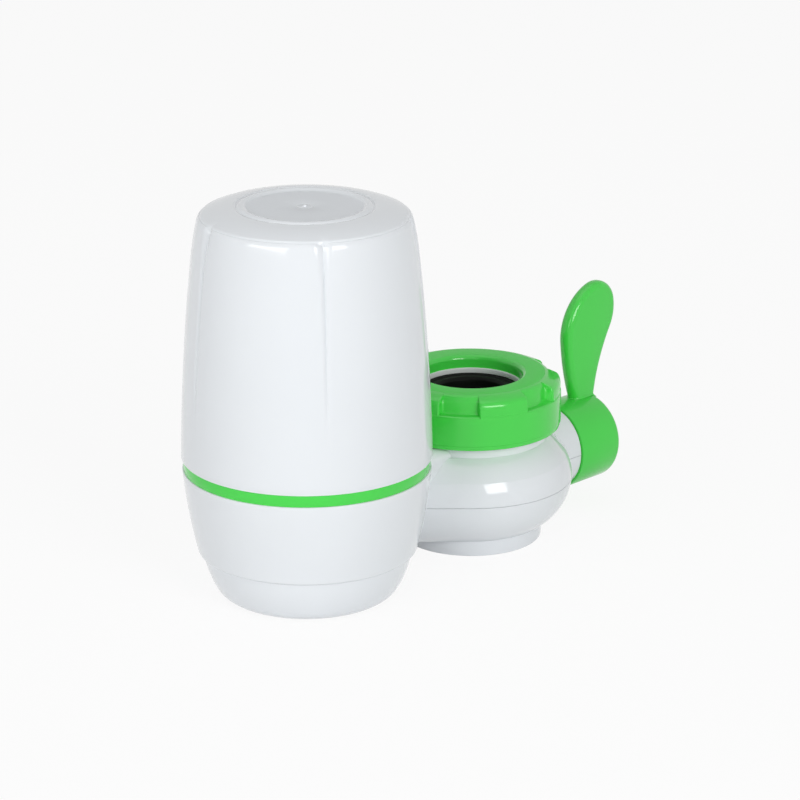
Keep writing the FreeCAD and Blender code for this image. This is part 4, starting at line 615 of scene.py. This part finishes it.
class FILTER_OT_nut(bpy.types.Operator):
    """Union nut with grip lugs round its upper half"""

    bl_idname = "filter.nut"
    bl_label = "Union nut"

    ledge = 48.1                    # height of the recesses' floor
    flat, flat_radius = 53.9, 23.3              # height and radius of the flat top
    # radius and height down the outside of a lug, and of the drum between two lugs
    lug_rows = [(flat_radius, flat), (24.4, 53.62), (25.5, 53.26), (26.6, 52.75),
                (27.4, 52.29), (27.8, 51.8), (28.05, 51.3), (28.15, 50.7), (28.15, ledge)]
    drum_rows = [(flat_radius, flat), (23.95, 53.72), (24.5, 53.35), (24.9, 52.8),
                 (25.17, 52.15), (25.34, 51.4), (25.44, 50.6), (25.5, 49.7), (25.5, ledge)]
    # where the recesses have an outer rim and an inner corner, and their roundings
    rim_radius, floor_radius, rim_rounding = 25.4, 28.05, 0.45
    corner_radius, corner_play, corner_height, corner_rounding = 25.43, 0.1, 51.75, 0.8
    side_play = 1e-3                # angle within which a place is on the side of a lug

    def angles(self, sizes):
        """Angle from one lug to the next, that of a recess, and the first lug's end."""
        pitch = 2 * math.pi / sizes.lug_count
        return pitch, pitch - sizes.lug_width, sizes.first_lug + sizes.lug_width / 2

    def past_lug(self, sizes, place):
        """Angle round the nut from the end of the last lug to a place."""
        pitch, recess, start = self.angles(sizes)
        return (math.atan2(place.y, place.x) - start) % pitch

    def in_recess(self, sizes, place):
        """Whether a place is in the angle between two lugs."""
        return self.past_lug(sizes, place) < self.angles(sizes)[1]

    def beside_lug(self, sizes, place):
        """Whether a place is at the angle of a lug's side."""
        pitch, recess, start = self.angles(sizes)
        past = self.past_lug(sizes, place)
        return min(abs(past - side) for side in (0.0, recess, pitch)) < self.side_play

    def recess_face(self, sizes, face):
        """Whether a face is on the outside between two lugs."""
        middle = face.calc_center_median()
        return (self.ledge < height_of(middle) < self.flat - TOUCH
                and radius_of(middle) > self.flat_radius
                and self.in_recess(sizes, middle))

    def recess_rim(self, sizes, edge):
        """Whether an edge is on the outer rim of a recess."""
        low, high = sorted((vertex.co for vertex in edge.verts), key=height_of)
        least = min(radius_of(low), radius_of(high))
        if least < self.rim_radius or height_of(low) < self.ledge - TOUCH:
            return False
        if height_of(high) - height_of(low) < TOUCH:
            # a level edge counts on the rim of the recess's floor only
            return (height_of(low) < self.ledge + TOUCH and least > self.floor_radius
                    and self.in_recess(sizes, (low + high) / 2))
        side = [(height, radius) for radius, height in reversed(self.lug_rows)]
        return all(abs(radius_of(place) - along(height_of(place), side)) <= FIT
                   and self.beside_lug(sizes, place) for place in (low, high))

    def recess_corner(self, sizes, edge):
        """Whether an edge is in an inner corner of a recess, at the drum's foot or sides."""
        low, high = sorted((vertex.co for vertex in edge.verts), key=height_of)
        if height_of(low) < self.ledge - TOUCH or height_of(high) > self.corner_height:
            return False
        for place in (low, high):
            if abs(radius_of(place) - self.corner_radius) > self.corner_play:
                return False
        if height_of(high) - height_of(low) < TOUCH:
            return height_of(low) < self.ledge + TOUCH
        return self.beside_lug(sizes, low)

    def execute(self, context):
        sizes = context.scene.filter_sizes
        nut = turned("nut", [
            (23.6, 36.9), (27.6, 36.9), (28.1, 37.3, 0.6, 3), (28.15, 38.3), (28.4, 38.5),
            (28.4, 47.75),
        ] + self.lug_rows[::-1] + [
            (17.5, self.flat), (16.0, 52.4, 1.5, 8), (16.0, 49.9), (23.6, 49.9),
        ], 180, start=self.angles(sizes)[2])
        choose(nut)
        bpy.ops.object.mode_set(mode="EDIT")
        pick(nut, "faces", lambda face: self.recess_face(sizes, face))
        bpy.ops.mesh.extrude_region_move()
        bpy.ops.mesh.select_mode(type="VERT")
        grid = bmesh.from_edit_mesh(nut.data)
        moved = [vertex.index for vertex in grid.verts if vertex.select]
        # row by row, the faces between two lugs are drawn in to the drum
        for (radius, height), (drum_radius, drum_height) in zip(self.lug_rows, self.drum_rows):
            grid = bmesh.from_edit_mesh(nut.data)
            grid.verts.ensure_lookup_table()
            row = {index for index in moved
                   if abs(height_of(grid.verts[index].co) - height) < TOUCH
                   and abs(radius_of(grid.verts[index].co) - radius) < FIT}
            pick(nut, "verts", lambda vertex: vertex.index in row)
            share = drum_radius / radius
            bpy.ops.transform.resize(value=(share, share, 1), center_override=(0, 0, 0))
            bpy.ops.transform.translate(value=(0, 0, (drum_height - height) * MM))
            moved = [index for index in moved if index not in row]
        bpy.ops.mesh.select_all(action="SELECT")
        bpy.ops.mesh.remove_doubles(threshold=WELD)
        if pick(nut, "edges", lambda edge: self.recess_rim(sizes, edge)) == 0:
            raise RuntimeError("the recesses of the nut have no rim")
        bpy.ops.mesh.bevel(offset=self.rim_rounding * MM, segments=3, affect="EDGES",
                           clamp_overlap=False)
        if pick(nut, "edges", lambda edge: self.recess_corner(sizes, edge)) == 0:
            raise RuntimeError("the recesses of the nut have no inner corner")
        bpy.ops.mesh.bevel(offset=self.corner_rounding * MM, segments=4, affect="EDGES",
                           clamp_overlap=False)
        close_up(nut)
        hand_over(nut, "nut", ["union_nut"], ["Green gloss", "Green satin"])
        for face in nut.data.polygons:
            high = height_of(face.center) > self.flat - FIT
            if high and radius_of(face.center) < self.flat_radius:
                face.material_index = 1
        return {"FINISHED"}


class FILTER_OT_tap_seat(bpy.types.Operator):
    """Flanged sleeve and rubber ring that the end of the tap is pushed into"""

    bl_idname = "filter.tap_seat"
    bl_label = "Tap seat"

    def execute(self, context):
        sizes = context.scene.filter_sizes
        sleeve = turned("tap_sleeve", [
            (18.0, 41.5), (20.7, 41.5), (20.7, 48.2), (23.3, 48.2), (23.3, 49.9),
            (15.5, 49.9), (15.5, 48.2), (18.0, 48.2),
        ], sizes.steps)
        soften(sleeve, sizes.edge)
        hand_over(sleeve, "adapter", ["adapter_ring"], ["Inner plastic"])
        screw = thread("socket_thread", 23.3, 23.52, 39.6, 3, sizes.thread_pitch / 2)
        hand_over(screw, "base", [], ["White gloss"])
        grip = turned("tap_grip", [
            (11.0, 39.0), (17.9, 39.0), (17.9, 48.2), (14.4, 48.2), (14.1, 47.9), (13.4, 47.9),
            (13.1, 48.2), (11.8, 48.2), (11.0, 47.4), (11.0, 45.2), (11.25, 44.9),
            (11.25, 44.3), (11.0, 44.0),
        ], sizes.steps)
        soften(grip, sizes.edge, segments=2)
        hand_over(grip, "adapter", ["grip_washer"], ["Rubber"])
        return {"FINISHED"}


class FILTER_OT_lever(bpy.types.Operator):
    """Lever with a round hub and an upright leaf-shaped blade, and its screw's cover"""

    bl_idname = "filter.lever"
    bl_label = "Lever"

    end = 56.5                      # of the hub, from the valve's axis
    foot, foot_start, foot_length = 12.6, 47.6, 8.9         # of the blade
    blade = [(foot_start, foot), (end, foot), (64.0, 35.0, -60.0, 14),
             (65.6, 46.0, 14.5, 12), (54.5, 51.2, 8.2, 16), (43.1, 32.5, 17.5, 18),
             (foot_start, foot, 80.0, 12)]
    # height of the blade's root above the core's axis, and how far it flares there
    root_rows = [(14.9, 0.0), (14.5, 0.04), (14.2, 0.12), (13.95, 0.3), (13.75, 0.55),
                 (13.55, 0.95), (13.3, 1.3)]

    def leaf(self, sizes):
        """The blade, with a rounded rim and a flared root."""
        half = sizes.blade_thickness / 2
        points = outline(self.blade)
        places = [Vector((p.x * MM, -half, CORE_Z + p.y * MM)) for p in points]
        blade = draw("blade", places + places[:1])
        bpy.ops.mesh.select_all(action="SELECT")
        bpy.ops.mesh.remove_doubles(threshold=WELD)
        bpy.ops.mesh.select_all(action="SELECT")
        bpy.ops.mesh.edge_face_add()
        bpy.ops.mesh.extrude_region_move(
            TRANSFORM_OT_translate={"value": (0, sizes.blade_thickness, 0)})
        bpy.ops.mesh.select_all(action="SELECT")
        bpy.ops.mesh.normals_make_consistent(inside=False)
        origin = blade.location.copy()

        def on_rim(edge):
            ends = [vertex.co + origin for vertex in edge.verts]
            level = all(abs(abs(end.y) - half) < TOUCH * MM for end in ends)
            same_side = abs(ends[0].y - ends[1].y) < TOUCH * MM
            foot = CORE_Z + (self.foot - 0.05) * MM
            return level and same_side and min(end.z for end in ends) > foot

        if pick(blade, "edges", on_rim) == 0:
            raise RuntimeError("the blade has no rim")
        bpy.ops.mesh.bevel(
            offset=sizes.blade_rounding, segments=7, affect="EDGES", clamp_overlap=False)
        for height, grow in self.root_rows:
            bpy.ops.mesh.select_all(action="SELECT")
            level = CORE_Z + height * MM
            bpy.ops.mesh.bisect(plane_co=(0, 0, level), plane_no=(0, 0, 1))
            pick(blade, "verts",
                 lambda vertex: abs((vertex.co + origin).z - level) < TOUCH * MM)
            wider = 1 + grow / self.foot_length
            thicker = 1 + grow * MM / half
            bpy.ops.transform.resize(
                value=(wider, thicker, 1), center_override=(self.end * MM, 0, level))
        close_up(blade)
        return blade

    def execute(self, context):
        sizes = context.scene.filter_sizes
        hub = turned_level("lever", [
            (38.0, 11.9), (52.9, 11.9), (52.9, 7.6), (39.2, 7.6), (39.2, 4.1), (46.1, 4.1),
            (46.1, 1.6), (53.3, 1.6), (53.3, 3.3), (55.3, 3.3), (55.3, 5.0), (self.end, 5.0),
            (self.end, 12.1), (54.5, 14.1, 2.0, 10), (38.0, 14.1),
        ], 192)
        soften(hub, sizes.edge, segments=2)
        combine(hub, self.leaf(sizes), "UNION")
        hand_over(hub, "lever", ["lever_handle"], ["Green gloss"])
        disc = turned_level("lever_disc", [
            (55.3, 0.0), (56.4, 0.0), (56.5, 3.6), (56.4, 4.8), (56.15, 4.95), (55.3, 4.95),
        ], 96)
        hand_over(disc, "lever", ["screw_cover"], ["Green gloss"])
        return {"FINISHED"}


class FILTER_OT_outlet(bpy.types.Operator):
    """Foot ring under the valve"""

    bl_idname = "filter.outlet"
    bl_label = "Outlet ring"

    def execute(self, context):
        sizes = context.scene.filter_sizes
        ring = turned("foot_ring", [
            (20.6, 0.0), (22.0, 0.0), (22.5, 0.5, 0.6, 4), (22.9, 5.4), (20.0, 5.4),
            (20.0, 8.0), (18.0, 8.0), (18.0, 4.8), (17.0, 4.8), (17.0, 3.6), (20.6, 3.6),
        ], sizes.steps)
        soften(ring, sizes.edge, segments=2)
        hand_over(ring, "base", ["outlet_collar"], ["White gloss"])
        return {"FINISHED"}


class FILTER_OT_kept_nodes(bpy.types.Operator):
    """Finishes of the solids that stay as they are"""

    bl_idname = "filter.kept_nodes"
    bl_label = "Kept solids"

    finishes = {
        "White gloss": ["shell_upper", "shell_lower", "valve_block", "spray_plate"],
        "Inner plastic": ["cartridge_base", "core_gland", "valve_core"],
        "Rubber": ["nozzle_oring", "cover_seal", "cartridge_seal", "nipple_orings",
                   "core_orings", "outlet_gasket"],
        "Ceramic": ["ceramic_candle"],
        "Carbon": ["carbon_block"],
        "Fibre": ["fibre_pad"],
        "Steel": ["lever_screw", "inlet_strainer"],
    }

    def execute(self, context):
        for finish, names in self.finishes.items():
            for name in names:
                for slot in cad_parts[name].material_slots:
                    slot.material = bpy.data.materials[finish]
        return {"FINISHED"}


# stage

def grey(tone):
    """An even tone as a colour."""
    return (tone, tone, tone, 1)


def pale_where_seen(tree, plain, seen, place):
    """Mixes in another shader where the camera or a reflection looks straight at it."""
    path = add_node(tree, "ShaderNodeLightPath", (place - 600, 300))
    first = add_node(tree, "ShaderNodeMath", (place - 400, 300), operation="ADD")
    second = add_node(tree, "ShaderNodeMath", (place - 200, 300), operation="ADD")
    second.use_clamp = True
    mix = add_node(tree, "ShaderNodeMixShader", (place, 0))
    link = tree.links.new
    link(path.outputs["Is Camera Ray"], first.inputs[0])
    link(path.outputs["Is Glossy Ray"], first.inputs[1])
    link(first.outputs[0], second.inputs[0])
    link(path.outputs["Is Transmission Ray"], second.inputs[1])
    link(second.outputs[0], mix.inputs["Fac"])
    link(plain.outputs[0], mix.inputs[1])
    link(seen.outputs[0], mix.inputs[2])
    return mix


class FILTER_OT_stage(bpy.types.Operator):
    """Floor, soft lamps, pale surroundings and the camera"""

    bl_idname = "filter.stage"
    bl_label = "Stage"

    camera_place = (-0.7889, -0.7488, 0.3719)
    camera_tilt, camera_turn = math.radians(90 - 18.63), math.radians(-45.31)
    camera_lens, camera_sensor = 163.35, 36.0
    lamp_target = (-0.03, 0, 0.01)
    floor_tone = 0.90               # in the light that the floor sends to the pieces
    floor_shade, floor_glow = 0.10, 0.895       # of the floor as it is seen
    world_light, world_seen = 0.36, 0.955
    lamps = [
        # name, place, size, size across, power
        ("Front", (-0.38, -1.31, 0.56), 0.62, 0.58, 8.2),
        ("Side", (-1.46, -0.16, 0.50), 1.1, 0.5, 7.5),
        ("Top", (-0.1, 0.2, 1.6), 1.2, 1.2, 2.5),
    ]

    def execute(self, context):
        scene = context.scene
        scene.view_settings.view_transform = "Standard"
        self.camera(scene)
        self.floor()
        self.surroundings(scene)
        for name, place, size, across, power in self.lamps:
            bpy.ops.object.select_all(action="DESELECT")
            bpy.ops.object.light_add(type="AREA", location=place)
            lamp = bpy.context.object
            lamp.name = name
            lamp.data.shape = "RECTANGLE"
            lamp.data.size = size
            lamp.data.size_y = across
            lamp.data.energy = power
            aim = Vector(self.lamp_target) - lamp.location
            lamp.rotation_euler = aim.to_track_quat("-Z", "Y").to_euler()
        return {"FINISHED"}

    def camera(self, scene):
        """Sets up the camera."""
        bpy.ops.object.select_all(action="DESELECT")
        bpy.ops.object.camera_add(
            location=self.camera_place, rotation=(self.camera_tilt, 0, self.camera_turn))
        camera = bpy.context.object
        camera.data.lens = self.camera_lens
        camera.data.sensor_width = self.camera_sensor
        camera.data.clip_end = 20.0
        scene.camera = camera

    def floor(self):
        """Lays a pale floor under the feet that takes soft shadows."""
        bpy.ops.object.select_all(action="DESELECT")
        bpy.ops.mesh.primitive_plane_add(size=8.0, location=(0, 0, FEET))
        floor = bpy.context.object
        floor.name = "floor"
        settle(floor)
        material = bpy.data.materials.new("Floor")
        material.use_nodes = True
        tree = material.node_tree
        tree.nodes.clear()
        output = add_node(tree, "ShaderNodeOutputMaterial", (600, 0))
        plain = add_node(tree, "ShaderNodeBsdfDiffuse", (0, -200))
        plain.inputs["Color"].default_value = grey(self.floor_tone)
        shade = add_node(tree, "ShaderNodeBsdfDiffuse", (0, 0))
        shade.inputs["Color"].default_value = grey(self.floor_shade)
        glow = add_node(tree, "ShaderNodeEmission", (0, 150))
        glow.inputs["Color"].default_value = grey(self.floor_glow)
        both = add_node(tree, "ShaderNodeAddShader", (200, 100))
        tree.links.new(shade.outputs[0], both.inputs[0])
        tree.links.new(glow.outputs[0], both.inputs[1])
        mix = pale_where_seen(tree, plain, both, 400)
        tree.links.new(mix.outputs[0], output.inputs["Surface"])
        floor.data.materials.append(material)

    def surroundings(self, scene):
        """Puts a pale world round the scene."""
        world = bpy.data.worlds.new("Surroundings")
        scene.world = world
        world.use_nodes = True
        tree = world.node_tree
        tree.nodes.clear()
        output = add_node(tree, "ShaderNodeOutputWorld", (600, 0))
        light = add_node(tree, "ShaderNodeBackground", (0, -200))
        light.inputs["Color"].default_value = grey(1)
        light.inputs["Strength"].default_value = self.world_light
        seen = add_node(tree, "ShaderNodeBackground", (0, 0))
        seen.inputs["Color"].default_value = grey(1)
        seen.inputs["Strength"].default_value = self.world_seen
        mix = pale_where_seen(tree, light, seen, 400)
        tree.links.new(mix.outputs[0], output.inputs["Surface"])


class FILTER_PT_panel(bpy.types.Panel):
    """Sidebar list of the pieces"""

    bl_idname = "FILTER_PT_panel"
    bl_label = "Water filter"
    bl_space_type = "VIEW_3D"
    bl_region_type = "UI"
    bl_category = "Water filter"

    def draw(self, context):
        layout = self.layout
        for maker in MAKERS:
            layout.operator(maker.bl_idname)
        for group in (context.scene.filter_sizes, context.scene.filter_finishes):
            box = layout.box()
            for name in group.__annotations__:
                box.prop(group, name)


MAKERS = (
    FILTER_OT_stage, FILTER_OT_finishes, FILTER_OT_cover, FILTER_OT_accent_ring,
    FILTER_OT_tower_base, FILTER_OT_bottom, FILTER_OT_nut, FILTER_OT_tap_seat,
    FILTER_OT_lever, FILTER_OT_outlet, FILTER_OT_kept_nodes,
)
CLASSES = (FilterSizes, FilterFinishes) + MAKERS + (FILTER_PT_panel,)


def register():
    for thing in CLASSES:
        bpy.utils.register_class(thing)
    bpy.types.Scene.filter_sizes = PointerProperty(type=FilterSizes)
    bpy.types.Scene.filter_finishes = PointerProperty(type=FilterFinishes)


def unregister():
    del bpy.types.Scene.filter_finishes
    del bpy.types.Scene.filter_sizes
    for thing in reversed(CLASSES):
        bpy.utils.unregister_class(thing)


def main():
    register()
    bpy.ops.filter.stage()
    bpy.ops.filter.finishes()
    bpy.ops.filter.cover()
    bpy.ops.filter.accent_ring()
    bpy.ops.filter.tower_base()
    bpy.ops.filter.bottom()
    bpy.ops.filter.nut()
    bpy.ops.filter.tap_seat()
    bpy.ops.filter.lever()
    bpy.ops.filter.outlet()
    bpy.ops.filter.kept_nodes()


if __name__ == "__main__":
    main()
